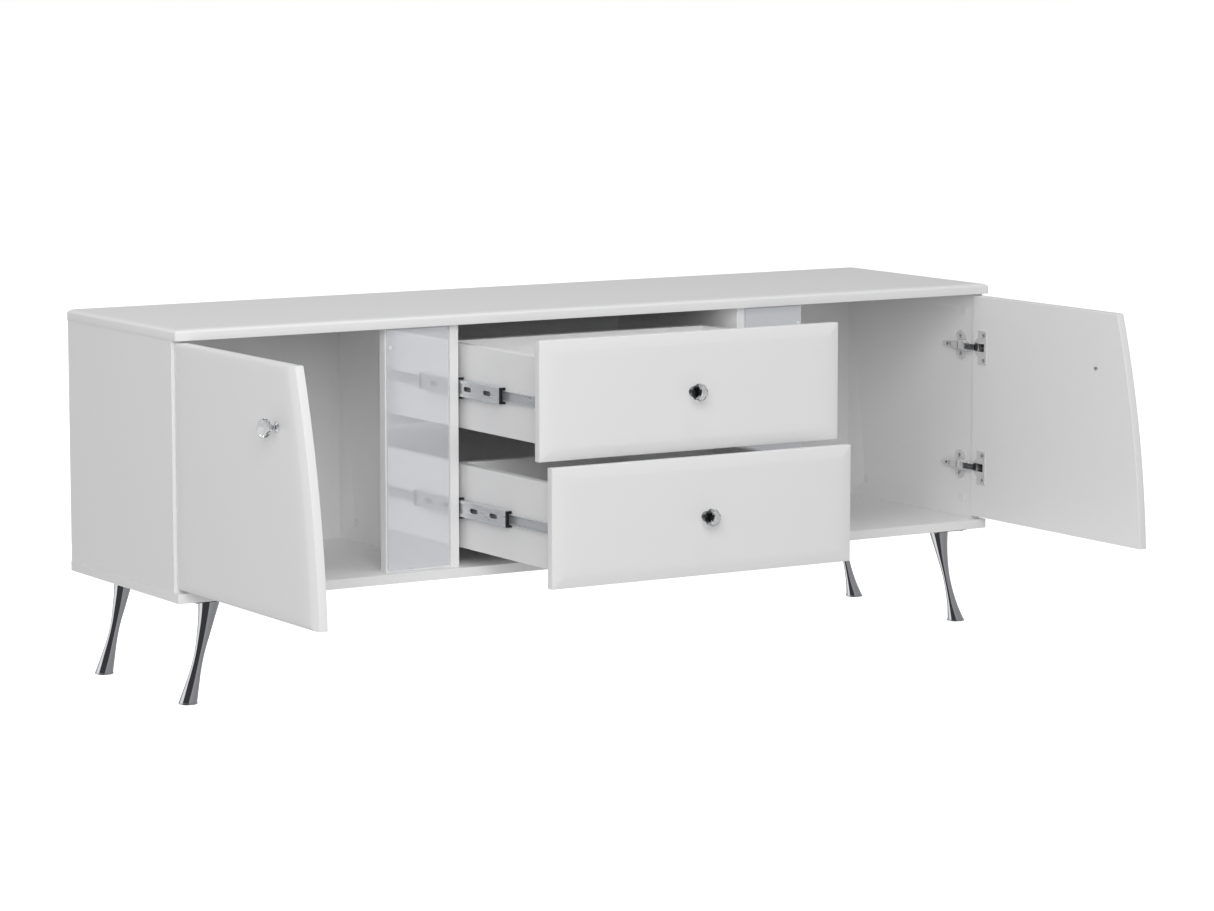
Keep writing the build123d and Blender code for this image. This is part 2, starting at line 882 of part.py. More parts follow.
def make_drawer_members(front_z, pull):
    """The inner rails, screwed to the sides of a drawer box."""
    gap = divider_inner_x - box_half
    y = closed_face_y - pull + front_board + rail_setback
    end = y + drawer_member_length
    z = slide_z(front_z)
    half = drawer_member_height / 2
    inner = half - slide_sheet
    with BuildPart() as members:
        for side in (-1, 1):
            box_between(
                slide_point(side, gap - drawer_member_width, y, z - half),
                slide_point(side, gap, end, z + half),
            )
            box_between(
                slide_point(side, gap - drawer_member_width, y, z - inner),
                slide_point(side, gap - slide_sheet, end, z + inner),
                mode=Mode.SUBTRACT,
            )
    return members.part


# ================================================================ everything
save(make_top_panel(), "top_panel")
save(make_bottom_panel(), "bottom_panel")
save(make_back_panel(), "back_panel")
save(make_cam_fittings(), "cam_fittings")
save(make_door_bumpers(), "door_bumpers")
save(make_leg_plates(), "leg_plates")
save(make_leg_screws(), "leg_screws")
save(make_foot_pads(), "foot_pads")
save(make_hinge_plates(), "hinge_plates")
save(make_hinge_arms(), "hinge_arms")
save(make_plate_screws(), "hinge_plate_screws")
save(make_cabinet_members(), "slide_cabinet_members")
save(make_slide_stops(), "slide_stops")

for leg_name, leg_side, leg_y in leg_spots():
    save(make_leg(leg_side, leg_y), leg_name)

for word, hand in (("left", -1), ("right", 1)):
    save(make_upright(hand, side_inner_x, side_outer_x, side_inner_x), f"{word}_side")
    save(make_upright(hand, divider_inner_x, divider_outer_x, divider_outer_x), f"{word}_divider")
    save(make_mirror_board(hand), f"{word}_mirror_board")
    save(make_mirror(hand), f"{word}_mirror")
    save(make_door(hand), f"{word}_door_panel")
    save(make_hinge_cups(hand), f"{word}_hinge_cups")
    save(make_cup_screws(hand), f"{word}_cup_screws")
    save(make_hinge_links(hand), f"{word}_hinge_links")
    knob_on_door = knob_plane_on_door(hand)
    save(make_knob_base(knob_on_door), f"{word}_door_knob_base")
    save(make_crystal(knob_on_door), f"{word}_door_knob_crystal")
    save(make_knob_screw(knob_on_door), f"{word}_door_knob_screw")

for word, bottom_edge, drawn in (
    ("lower", lower_front_z, lower_pull),
    ("upper", upper_front_z, upper_pull),
):
    save(make_drawer_front(bottom_edge, drawn), f"{word}_drawer_front")
    save(make_drawer_sides(bottom_edge, drawn), f"{word}_drawer_sides")
    save(make_drawer_back(bottom_edge, drawn), f"{word}_drawer_back")
    save(make_drawer_bottom(bottom_edge, drawn), f"{word}_drawer_bottom")
    save(make_drawer_members(bottom_edge, drawn), f"{word}_slide_drawer_members")
    save(make_middle_members(bottom_edge, drawn), f"{word}_slide_middle_members")
    save(make_slide_cages(bottom_edge, drawn), f"{word}_slide_cages")
    knob_on_drawer = knob_plane_on_drawer(bottom_edge, drawn)
    save(make_knob_base(knob_on_drawer), f"{word}_drawer_knob_base")
    save(make_crystal(knob_on_drawer), f"{word}_drawer_knob_crystal")
    save(make_knob_screw(knob_on_drawer), f"{word}_drawer_knob_screw")

print(f"arm pivot {arm_pivot_x:.3f} {arm_pivot_y:.3f}")
print(f"cup pivot, open {cup_pivot_x:.3f} {cup_pivot_y:.3f}, shut {shut_pivot_x:.3f} {shut_pivot_y:.3f}")
print(f"the link swings {link_swing:.3f} degrees while the door turns 90")
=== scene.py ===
"""Low white TV stand with doors, drawers and metal legs: its surfaces, materials and studio.

Laid out as an add-on. Metres, with +X along the front, +Y to the back and +Z up.
"""

import json
from math import radians

import bmesh
import bpy
import numpy as np
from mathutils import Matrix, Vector


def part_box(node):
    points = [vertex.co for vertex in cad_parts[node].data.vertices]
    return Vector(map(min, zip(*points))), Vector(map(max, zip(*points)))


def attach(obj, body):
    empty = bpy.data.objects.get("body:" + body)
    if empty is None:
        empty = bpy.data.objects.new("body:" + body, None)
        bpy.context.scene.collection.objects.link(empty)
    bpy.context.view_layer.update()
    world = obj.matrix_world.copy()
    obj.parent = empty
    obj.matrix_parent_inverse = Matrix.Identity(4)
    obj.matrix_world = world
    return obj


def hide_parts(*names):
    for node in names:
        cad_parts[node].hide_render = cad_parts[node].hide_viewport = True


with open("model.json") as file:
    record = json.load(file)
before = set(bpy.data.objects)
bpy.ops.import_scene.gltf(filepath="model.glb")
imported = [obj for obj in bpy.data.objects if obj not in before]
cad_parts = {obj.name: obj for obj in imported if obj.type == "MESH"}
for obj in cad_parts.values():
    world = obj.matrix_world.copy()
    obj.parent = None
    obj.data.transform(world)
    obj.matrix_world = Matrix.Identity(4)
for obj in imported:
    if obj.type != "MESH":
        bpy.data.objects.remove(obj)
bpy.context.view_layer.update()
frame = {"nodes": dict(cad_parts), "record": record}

bl_info = {
    "name": "TV Stand With Doors",
    "version": (1, 0, 0),
    "blender": (4, 5, 0),
    "location": "View3D > Sidebar > TV Stand",
    "description": "Finishes a low TV stand: moulded fronts, board edges, fittings and studio",
    "category": "Add Mesh",
}

MM = 0.001
SIDES = (("left", -1), ("right", 1))
DRAWERS = ("upper", "lower")


# ---------------------------------------------------------------- sizes and colours
def length(name, about, millimetres):
    """A length property with a default in millimetres."""
    return bpy.props.FloatProperty(
        name=name, description=about, default=millimetres * MM, unit="LENGTH"
    )


class StandSizes(bpy.types.PropertyGroup):
    """Sizes of the mouldings and small roundings that finish the boards."""

    top_edge_width: length("Top edge width", "How far the top's soft edge reaches in", 15)
    top_edge_drop: length("Top edge drop", "How far the top's soft edge falls", 5.2)
    top_corner: length("Top corner radius", "Rounding of the top's front corners", 3)
    door_width_middle: length("Door width, middle", "From the hinge edge, halfway up", 456.4)
    door_width_top: length("Door width, top", "From the hinge edge, at the top", 407.8)
    door_bevel_width: length(
        "Door bevel width", "Across the wide soft edge on the door's curved side", 22
    )
    door_bevel_drop: length("Door bevel drop", "How far that edge falls", 4)
    drawer_bevel_width: length(
        "Drawer bevel width", "Across the bevel that runs round a drawer front", 20
    )
    drawer_bevel_drop: length("Drawer bevel drop", "How far that bevel falls", 3)
    board_edge: length("Board edge", "Rounding of the banded edges of plain boards", 0.5)
    sheet_edge: length("Sheet metal edge", "Rounding of pressed steel edges", 0.2)


def linear(code):
    """An sRGB hex colour as linear red, green and blue with full alpha."""
    srgb = np.array([int(code[i:i + 2], 16) for i in (0, 2, 4)]) / 255
    curve = ((srgb + 0.055) / 1.055) ** 2.4
    return (*np.where(srgb <= 0.04045, srgb / 12.92, curve).tolist(), 1.0)


def colour(name, code, about):
    """A colour property with an sRGB default."""
    return bpy.props.FloatVectorProperty(
        name=name, description=about, subtype="COLOR", size=4, min=0, max=1, default=linear(code)
    )


class StandColours(bpy.types.PropertyGroup):
    """Base colours of the finishes."""

    foil: colour("Foil", "F8F8F8", "Pressed foil on the doors, drawer fronts and top")
    melamine: colour("Melamine", "F8F8F8", "Faces of the plain boards")
    hardboard: colour("Hardboard", "F2F2F3", "Painted back and drawer bottoms")
    silvering: colour("Mirror", "F3F5FA", "Silver seen through the glass")
    crystal: colour("Crystal", "FAFCFD", "Cut glass of the knobs")
    chrome: colour("Chrome", "D2D3D6", "Plating of the knobs")
    leg_chrome: colour("Leg chrome", "C9CACC", "Plating of the legs")
    zinc: colour("Zinc", "E6E8EA", "Plating of slides and screws")
    nickel: colour("Nickel", "F6F6F7", "Plating of the hinges")
    # this colour is also painted shade inside the hinge cups and in the slit of the hinge arms
    link: colour("Hinge link", "9C9DA0", "Bare steel of the hinge links")
    black: colour("Black plastic", "131314", "Cages, stops and the plates' powder coat")
    cap: colour("Cap", "F5F5F5", "Cover caps and bumpers")
    floor: colour("Floor", "FFFFFF", "Studio floor")


class StudioSettings(bpy.types.PropertyGroup):
    """Camera and lights."""

    camera_place: bpy.props.FloatVectorProperty(
        name="Camera place", description="Where the camera stands", subtype="TRANSLATION",
        default=(-3.6966, -6.1983, 1.2705),
    )
    camera_turn: bpy.props.FloatProperty(
        name="Camera turn", description="From straight at the front towards the right end",
        default=radians(31.68), subtype="ANGLE",
    )
    camera_tilt: bpy.props.FloatProperty(
        name="Camera tilt", description="Downwards from level",
        default=radians(7.40), subtype="ANGLE",
    )
    lens: bpy.props.FloatProperty(
        name="Lens", description="Focal length in millimetres on a 36 mm sensor", default=124.8,
    )
    room_light: bpy.props.FloatProperty(
        name="Room light", description="Even light from all round", default=0.31,
    )
    key_light: bpy.props.FloatProperty(
        name="Key light", description="Watts of the light in front, to the left", default=131.0,
    )
    top_light: bpy.props.FloatProperty(
        name="Top light", description="Watts of the light overhead", default=48.0,
    )
    left_light: bpy.props.FloatProperty(
        name="Left light", description="Watts of the light off the left end", default=13.0,
    )


# ---------------------------------------------------------------- material helpers
def add(tree, kind, settings, inputs):
    """Adds a node, sets its properties, then fills its inputs with values or links."""
    made = tree.nodes.new(kind)
    for key, value in settings.items():
        setattr(made, key, value)
    for key, value in inputs.items():
        if isinstance(value, bpy.types.NodeSocket):
            tree.links.new(value, made.inputs[key])
        else:
            made.inputs[key].default_value = value
    return made


def start(name):
    """An empty material: its tree, its Principled shader and its object coordinates."""
    made = bpy.data.materials.new(name)
    made.use_nodes = True
    tree = made.node_tree
    tree.nodes.clear()
    shader = add(tree, "ShaderNodeBsdfPrincipled", {}, {})
    add(tree, "ShaderNodeOutputMaterial", {}, {"Surface": shader.outputs["BSDF"]})
    place = add(tree, "ShaderNodeTexCoord", {}, {}).outputs["Object"]
    return made, tree, shader, place


def grain(tree, place, size_mm, stretch=(1, 1, 1), detail=2.0):
    """Noise whose blotches are about size_mm across, stretched along the axes given."""
    scaled = add(tree, "ShaderNodeMapping", {}, {"Vector": place, "Scale": stretch})
    return add(
        tree, "ShaderNodeTexNoise", {},
        {"Vector": scaled.outputs["Vector"], "Scale": 1 / (size_mm * MM), "Detail": detail},
    ).outputs["Fac"]


def spread(tree, value, low, high):
    """Stretches noise from its usual middle band to the range from low to high."""
    return add(
        tree, "ShaderNodeMapRange", {},
        {"Value": value, "From Min": 0.3, "From Max": 0.7, "To Min": low, "To Max": high},
    ).outputs["Result"]


def relief(tree, shader, height, depth_mm, share):
    """Feeds a height to the shader as bump."""
    bump = add(
        tree, "ShaderNodeBump", {},
        {"Height": height, "Distance": depth_mm * MM, "Strength": share},
    )
    tree.links.new(bump.outputs["Normal"], shader.inputs["Normal"])


def tinted(tree, shader, base, value, change, socket="Base Color"):
    """Base colour that drifts a little darker where the value is low."""
    dark = [channel * (1 - change) for channel in base[:3]] + [1.0]
    mixed = add(
        tree, "ShaderNodeMix", {"data_type": "RGBA"}, {"Factor": value, "A": dark, "B": base}
    )
    tree.links.new(mixed.outputs["Result"], shader.inputs[socket])


def set_on(shader, **values):
    """Sets constants on the shader's own sockets."""
    for key, value in values.items():
        shader.inputs[key.replace("_", " ")].default_value = value


# ---------------------------------------------------------------- materials
# how much of a dull plating mirrors: the rest is the pale bloom of its crystals
ZINC_METAL = 0.6
NICKEL_METAL = 0.35
# how much of a mirror's light comes back sharp: the rest is the haze of the white board behind it
MIRROR_METAL = 0.45


def pressed_foil(colours):
    """PVC foil, vacuum pressed over moulded MDF: satin, with a faint pull of fibres under it."""
    made, tree, shader, place = start("white satin PVC foil, pressed over MDF")
    tinted(tree, shader, tuple(colours.foil), grain(tree, place, 240, detail=1.0), 0.012)
    tree.links.new(
        spread(tree, grain(tree, place, 60, detail=3.0), 0.30, 0.36), shader.inputs["Roughness"]
    )
    # fibre telegraphing is about 2 mm across and only a few microns deep
    relief(tree, shader, grain(tree, place, 2.4, detail=1.0), 0.05, 0.22)
    set_on(shader, IOR=1.5, Coat_Weight=0.12, Coat_Roughness=0.22)
    return made


def melamine_board(colours):
    """Melamine paper on chipboard with a pearl-textured press plate: a fine even pebble."""
    made, tree, shader, place = start("white melamine faced chipboard, pearl texture")
    tinted(tree, shader, tuple(colours.melamine), grain(tree, place, 300, detail=1.0), 0.01)
    tree.links.new(
        spread(tree, grain(tree, place, 45, detail=2.0), 0.40, 0.47), shader.inputs["Roughness"]
    )
    # the real pebble is 0.4 mm; drawn at 1.2 mm so that it shows as a soft sparkle
    relief(tree, shader, grain(tree, place, 1.2, detail=2.0), 0.06, 0.25)
    set_on(shader, IOR=1.5)
    return made


def painted_hardboard(colours):
    """Thin hardboard with a rolled white coat: flatter, with roller stipple and faint streaks."""
    made, tree, shader, place = start("white roller coated hardboard")
    streaks = grain(tree, place, 30, stretch=(1, 1, 0.08), detail=3.0)
    tinted(tree, shader, tuple(colours.hardboard), streaks, 0.03)
    tree.links.new(spread(tree, streaks, 0.52, 0.62), shader.inputs["Roughness"])
    relief(tree, shader, grain(tree, place, 1.6, detail=3.0), 0.08, 0.3)
    set_on(shader, IOR=1.5)
    return made


def silvered_mirror(colours):
    """Float glass silvered at the back: sharp, with a faint cool cast."""
    made, tree, shader, place = start("silvered float glass mirror")
    tinted(tree, shader, tuple(colours.silvering), grain(tree, place, 90), 0.015)
    tree.links.new(
        spread(tree, grain(tree, place, 20, detail=3.0), 0.0, 0.008), shader.inputs["Roughness"]
    )
    set_on(shader, Metallic=MIRROR_METAL, IOR=1.5)
    return made


def cut_crystal(colours):
    """Lead-free crystal, cut and fire polished: clear, with bright facets."""
    made, tree, shader, place = start("clear cut crystal glass, polished")
    tree.links.new(
        spread(tree, grain(tree, place, 6), 0.0, 0.012), shader.inputs["Roughness"]
    )
    shader.inputs["Base Color"].default_value = colours.crystal
    set_on(shader, IOR=1.55, Transmission_Weight=1.0)
    return made


def plated(name, base, low, high, patch_mm, stretch=(1, 1, 1), ripple=0.0, metallic=1.0):
    """Metal plating with patches of slightly different polish."""
    made, tree, shader, place = start(name)
    patches = grain(tree, place, patch_mm, stretch=stretch, detail=3.0)
    tinted(tree, shader, tuple(base), patches, 0.06)
    tree.links.new(spread(tree, patches, low, high), shader.inputs["Roughness"])
    if ripple:
        relief(tree, shader, patches, ripple, 0.3)
    set_on(shader, Metallic=metallic)
    return made


def moulded_plastic(name, base, rough, grit_mm):
    """Injection moulded plastic with the spark-eroded grit of its tool."""
    made, tree, shader, place = start(name)
    grit = grain(tree, place, grit_mm, detail=3.0)
    tinted(tree, shader, tuple(base), grit, 0.08)
    tree.links.new(spread(tree, grit, rough, rough + 0.1), shader.inputs["Roughness"])
    relief(tree, shader, grit, 0.03, 0.4)
    set_on(shader, IOR=1.49)
    return made


def make_materials(colours):
    """Every finish of the stand, by a short key."""
    return {
        "foil": pressed_foil(colours),
        "melamine": melamine_board(colours),
        "hardboard": painted_hardboard(colours),
        "mirror": silvered_mirror(colours),
        "crystal": cut_crystal(colours),
        # knobs: turned brass, polished and chromed, with a hair of haze
        "chrome": plated("chromed turned brass", colours.chrome, 0.10, 0.16, 8),
        # legs: die cast zinc, polished and chromed; the casting's skin waves very slightly
        "leg": plated("chromed zinc die casting", colours.leg_chrome, 0.05, 0.10, 30, ripple=0.02),
        # slides: cold rolled strip, zinc plated; streaks run along the rail
        "zinc": plated(
            "zinc plated rolled steel", colours.zinc, 0.26, 0.40, 3, (1, 0.05, 1), 0.01, ZINC_METAL
        ),
        # hinges: stamped steel, nickel plated, brighter and smoother than zinc
        "nickel": plated(
            "nickel plated stamped steel", colours.nickel, 0.16, 0.26, 5, metallic=NICKEL_METAL
        ),
        # the hinge link: hardened steel, left dark; the same dark steel is also painted shade
        # inside the hinge cups and in the slit of the hinge arms
        "link": plated("oiled hardened steel", colours.link, 0.25, 0.35, 2),
        "screw": plated("zinc plated steel screw", colours.zinc, 0.22, 0.34, 1.5),
        "black": moulded_plastic("black moulded acetal", colours.black, 0.42, 0.6),
        "coat": moulded_plastic("black powder coated steel", colours.black, 0.5, 1.2),
        "foot": plated("satin zinc die casting", colours.leg_chrome, 0.30, 0.38, 6),
        "cap": moulded_plastic("white moulded polystyrene", colours.cap, 0.35, 0.8),
    }


# ---------------------------------------------------------------- mesh helpers
def grid_faces(rings, points, wrap):
    """Quads between neighbouring rings of a grid that is numbered ring by ring."""
    ring = np.arange(rings - 1)[:, None] * points
    step = np.arange(points if wrap else points - 1)[None, :]
    after = (step + 1) % points
    quads = [ring + step, ring + after, ring + points + after, ring + points + step]
    return np.stack([q + 0 * (ring + step) for q in quads], -1).reshape(-1, 4)


def finish_piece(name, points, faces, material, body, slot, stands_for=(), smooth=35):
    """A mesh piece from points and faces, with normals outwards.

    It is shaded smooth but for edges sharper than smooth, in degrees; 0 leaves every facet flat.
    """
    mesh = bpy.data.meshes.new(name)
    mesh.from_pydata(np.asarray(points).reshape(-1, 3).tolist(), [], [list(f) for f in faces])
    work = bmesh.new()
    work.from_mesh(mesh)
    bmesh.ops.remove_doubles(work, verts=work.verts, dist=1e-7)
    bmesh.ops.recalc_face_normals(work, faces=work.faces)
    work.to_mesh(mesh)
    work.free()
    return register_piece(name, mesh, material, body, stands_for, smooth)


def register_piece(name, mesh, material, body, stands_for, smooth):
    """Puts a finished mesh in the scene as a piece of the stand."""
    if smooth:
        mesh.shade_smooth()
        mesh.set_sharp_from_angle(angle=radians(smooth))
    mesh.materials.clear()
    mesh.materials.append(material)
    piece = bpy.data.objects.new(name, mesh)
    bpy.context.scene.collection.objects.link(piece)
    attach(piece, body)
    if stands_for:
        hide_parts(*stands_for)
    return piece


def body_of(node):
    """The body that a node belongs to."""
    bodies = frame["record"]["behaviour"]["bodies"]
    return next(body for body, members in bodies.items() if node in members)


def slot_of(node):
    """The record's material slot of a node."""
    return next(s["material_slot"] for s in frame["record"]["subparts"] if s["node"] == node)


def eased_copy(node, material, edge):
    """A merged copy of a plain CAD piece whose sharp edges are eased by a small bevel."""
    mesh = frame["nodes"][node].data.copy()
    mesh.name = node + "_finish"
    work = bmesh.new()
    work.from_mesh(mesh)
    bmesh.ops.remove_doubles(work, verts=work.verts, dist=1e-6)
    bmesh.ops.dissolve_limit(
        work, angle_limit=radians(0.5), verts=work.verts, edges=work.edges, delimit={"NORMAL"}
    )
    work.to_mesh(mesh)
    work.free()
    piece = register_piece(
        node + "_finish", mesh, material, body_of(node), (node,), 30
    )
    if edge:
        bevel = piece.modifiers.new("eased edges", "BEVEL")
        bevel.width = edge
        bevel.segments = 2
        bevel.limit_method = "ANGLE"
        bevel.angle_limit = radians(50)
        bevel.harden_normals = True
    return piece


def closed(rings):
    """Rings joined round and along, and a flat face over each end ring, as points and faces."""
    count, turns = rings.shape[:2]
    last = (count - 1) * turns
    ends = [list(range(turns)), [last + i for i in range(turns)]]
    return rings, grid_faces(count, turns, True).tolist() + ends


def lathe(profile, origin, axis, turns=48):
    """A profile of (radius, height) turned about an axis: each ring is radius times a circle."""
    axis = Vector(axis).normalized()
    across = axis.orthogonal().normalized()
    beside = axis.cross(across)
    angle = np.linspace(0, 2 * np.pi, turns, endpoint=False)
    circle = np.cos(angle)[:, None] * np.array(across) + np.sin(angle)[:, None] * np.array(beside)
    profile = np.asarray(profile, float)
    rings = profile[:, 0, None, None] * circle + profile[:, 1, None, None] * np.array(axis)
    return closed(rings + np.array(origin))


def joined(parts):
    """Several (points, faces) pairs as one."""
    points, faces, base = [], [], 0
    for some_points, some_faces in parts:
        flat = np.asarray(some_points).reshape(-1, 3)
        points.append(flat)
        faces += [[index + base for index in face] for face in some_faces]
        base += len(flat)
    return np.concatenate(points), faces


def bored(piece, cutters):
    """Cuts closed shapes out of a piece and keeps the result as its plain mesh."""
    points, faces = joined(cutters)
    mesh = bpy.data.meshes.new("cutter")
    mesh.from_pydata(points.tolist(), [], faces)
    work = bmesh.new()
    work.from_mesh(mesh)
    bmesh.ops.recalc_face_normals(work, faces=work.faces)
    work.to_mesh(mesh)
    work.free()
    cutter = bpy.data.objects.new("cutter", mesh)
    bpy.context.scene.collection.objects.link(cutter)
    cut = piece.modifiers.new("bores", "BOOLEAN")
    cut.operation = "DIFFERENCE"
    cut.solver = "EXACT"
    cut.object = cutter
    result = bpy.data.meshes.new_from_object(
        piece.evaluated_get(bpy.context.evaluated_depsgraph_get())
    )
    piece.modifiers.clear()
    piece.data = result
    result.set_sharp_from_angle(angle=radians(30))
    bpy.data.objects.remove(cutter)


def islands(node):
    """Lowest and highest corner of each separate solid in a CAD node.

    Corners at one spot count as one, and each takes the lowest label among its neighbours until
    no label changes: a solid's corners then all share one label.
    """
    mesh = frame["nodes"][node].data
    spots = np.empty(3 * len(mesh.vertices))
    mesh.vertices.foreach_get("co", spots)
    spots = spots.reshape(-1, 3)
    ends = np.empty(2 * len(mesh.edges), dtype=np.int32)
    mesh.edges.foreach_get("vertices", ends)
    same = np.unique(np.round(spots, 6), axis=0, return_inverse=True)[1].reshape(-1)
    first, second = same[ends.reshape(-1, 2)].T
    label = np.arange(same.max() + 1)
    before = None
    while not np.array_equal(label, before):
        before = label.copy()
        lowest = np.minimum(label[first], label[second])
        np.minimum.at(label, first, lowest)
        np.minimum.at(label, second, lowest)
    owner = label[same]
    boxes = [(spots[owner == own].min(0), spots[owner == own].max(0)) for own in np.unique(owner)]
    return sorted(boxes, key=lambda box: tuple(np.round(box[0], 4)))


# ---------------------------------------------------------------- top board
def rounded_outline(half, front, back, inset, corner, steps):
    """Outline of the top at an inset: straight back, and quarter circles at the two front corners.

    The front and ends move in by the inset, the back stays, and the corner radius shrinks by it.
    """
    radius = max(corner - inset, 0.05 * MM)
    turn = np.linspace(0, np.pi / 2, steps)
    left_x = -half + inset + radius - radius * np.cos(turn)
    right_x = half - inset - radius + radius * np.sin(turn)
    left_y = front + inset + radius - radius * np.sin(turn)
    right_y = front + inset + radius - radius * np.cos(turn)
    x = np.concatenate([[-half + inset], left_x, right_x, [half - inset]])
    y = np.concatenate([[back], left_y, right_y, [back]])
    return x, y


class TVSTAND_OT_top_board(bpy.types.Operator):
    """Makes the top: a flat board whose front and ends roll over in a soft edge"""

    bl_idname = "tvstand.top_board"
    bl_label = "Top Board"

    def execute(self, context):
        sizes = context.scene.tvstand_sizes
        low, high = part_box("top_panel")
        ease = sizes.board_edge
        roll = np.linspace(0, np.pi / 2, 14)
        # a quarter ellipse: in by width times (1 - cos), up by drop times sin
        inset = np.concatenate([
            [ease, 0.3 * ease, 0, 0], sizes.top_edge_width * (1 - np.cos(roll[1:])),
        ])
        level = np.concatenate([
            [low.z, low.z + 0.3 * ease, low.z + ease, high.z - sizes.top_edge_drop],
            high.z - sizes.top_edge_drop + sizes.top_edge_drop * np.sin(roll[1:]),
        ])
        rings = []
        for move, z in zip(inset, level):
            x, y = rounded_outline(high.x, low.y, high.y, move, sizes.top_corner, 9)
            rings.append(np.stack([x, y, np.full_like(x, z)], -1))
        finish_piece(
            "top_board", *closed(np.array(rings)), MATERIALS["foil"], "cabinet", "white_board",
            ("top_panel",), 28,
        )
        return {"FINISHED"}


# ---------------------------------------------------------------- moulded doors and drawer fronts
def soft_drop(distance, width, drop):
    """How far the face has fallen at a distance from an edge.

    With t = 1 - distance / width, it is drop times t times (0.6 + 0.4 t): a crease, then a curve.
    """
    share = np.clip(1 - distance / width, 0, 1)
    return drop * share * (0.6 + 0.4 * share)


def eased_drop(distance, radius):
    """A small quarter-round at an arris: radius less the height of a circle at that distance."""
    share = np.clip(1 - distance / radius, 0, 1)
    return radius * (1 - np.sqrt(1 - share**2))


def edge_steps(width, arris):
    """Distances from an edge where grid lines run: close at the arris, wider over the moulding."""
    fine = arris * np.array([0, 0.08, 0.25, 0.5, 0.75, 1.0])
    return np.concatenate([fine, np.linspace(arris, width, 12)[1:]])


def moulded_board(reach, low_z, high_z, thick, mouldings, arris):
    """Both faces and the edges of a board with a moulding along each edge, as points and faces.

    Points are (from the straight edge, up, above the inner face). The outer face is a height field:
    the drops from the four edges are joined by a sixth-power mean, which softens the mitres. The
    last column follows reach, the board's width at each height.
    """
    near, far, bottom, top = mouldings
    low_steps = edge_steps(bottom[0], arris)
    high_steps = edge_steps(top[0], arris)
    middle = np.linspace(low_z + low_steps[-1], high_z - high_steps[-1], 30)[1:-1]
    z = np.concatenate([low_z + low_steps, middle, high_z - high_steps[::-1]])
    width = reach(z)[:, None]
    near_steps = edge_steps(near[0], arris)[None, :]
    far_steps = edge_steps(far[0], arris)[None, ::-1]
    share = np.linspace(0, 1, 16)[None, 1:-1]
    start_at = near_steps[0, -1]
    between = start_at + share * (width - far_steps[0, 0] - start_at)
    across = np.concatenate([near_steps + 0 * width, between, width - far_steps], 1)
    up = z[:, None] + 0 * across
    distances = (across, width - across, up - low_z, high_z - up)
    fall = sum(
        soft_drop(away, *moulding) ** 6 for away, moulding in zip(distances, mouldings)
    ) ** (1 / 6)
    ease = sum(eased_drop(away, arris) ** 6 for away in distances) ** (1 / 6)
    outer = np.stack([across, up, thick - fall - ease], -1)
    inner = np.stack([across, up, np.minimum(ease, thick / 3)], -1)
    rows, columns = across.shape
    faces = grid_faces(rows, columns, False)
    count = rows * columns
    index = np.arange(count).reshape(rows, columns)
    rim = np.concatenate([
        index[0, :-1], index[:-1, -1], index[-1, :0:-1], index[:0:-1, 0],
    ])
    after = np.roll(rim, -1)
    wall = np.stack([rim, after, after + count, rim + count], -1)
    all_faces = np.concatenate([faces, faces[:, ::-1] + count, wall])
    return np.concatenate([outer.reshape(-1, 3), inner.reshape(-1, 3)]), all_faces


# the eased arris of moulded boards, and the (width, drop) moulding of a door's straight edges
ARRIS = 0.8 * MM
NARROW_MOULDING = (6 * MM, 1.6 * MM)


def arc_reach(z, low, middle, high):
    """Width at each height of an edge that is an arc through three (width, height) points."""
    (w0, z0), (w1, z1), (w2, z2) = low, middle, high
    sums = np.array([[2 * (w1 - w0), 2 * (z1 - z0)], [2 * (w2 - w0), 2 * (z2 - z0)]])
    squares = np.array([
        w1**2 + z1**2 - w0**2 - z0**2,
        w2**2 + z2**2 - w0**2 - z0**2,
    ])
    centre_w, centre_z = np.linalg.solve(sums, squares)
    radius = np.hypot(w0 - centre_w, z0 - centre_z)
    return centre_w + np.sqrt(radius**2 - (z - centre_z) ** 2)


class TVSTAND_OT_doors(bpy.types.Operator):
    """Makes the two door boards: one long edge is an arc with a wide soft moulding"""

    bl_idname = "tvstand.doors"
    bl_label = "Doors"

    def execute(self, context):
        sizes = context.scene.tvstand_sizes
        for word, side in SIDES:
            node = word + "_door_panel"
            low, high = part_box(node)
            hinge_y = high.y
            inner_x = low.x if side > 0 else high.x
            middle_z = (low.z + high.z) / 2
            ends = (
                (high.y - low.y, low.z),
                (sizes.door_width_middle, middle_z),
                (sizes.door_width_top, high.z),
            )
            wide = (sizes.door_bevel_width, sizes.door_bevel_drop)
            points, faces = moulded_board(
                lambda z, ends=ends: arc_reach(z, *ends),
                low.z, high.z, high.x - low.x,
                (NARROW_MOULDING, wide, NARROW_MOULDING, NARROW_MOULDING), ARRIS,
            )
            placed = np.stack([
                inner_x + side * points[:, 2], hinge_y - points[:, 0], points[:, 1],
            ], -1)
            piece = finish_piece(
                word + "_door_board", placed, faces, MATERIALS["foil"], word + "_door",
                "white_front", (node,), 28,
            )
            bored(piece, self.bores(word, side, inner_x))
        return {"FINISHED"}

    def bores(self, word, side, inner_x):
        """Closed cylinders where the hinge cups sit."""
        low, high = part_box(word + "_hinge_cups")
        plate = 1.2 * MM
        radius = 17.5 * MM
        deep = 12 * MM
        half_plate = 30 * MM
        # the cups reach nearer to the hinge edge than their wings do
        cup_y = high.y - radius
        cutters = []
        for z in (low.z + half_plate, high.z - half_plate):
            cutters.append(lathe(
                [(radius, -2 * plate), (radius, deep)], (inner_x, cup_y, z), (side, 0, 0), 64
            ))
        return cutters


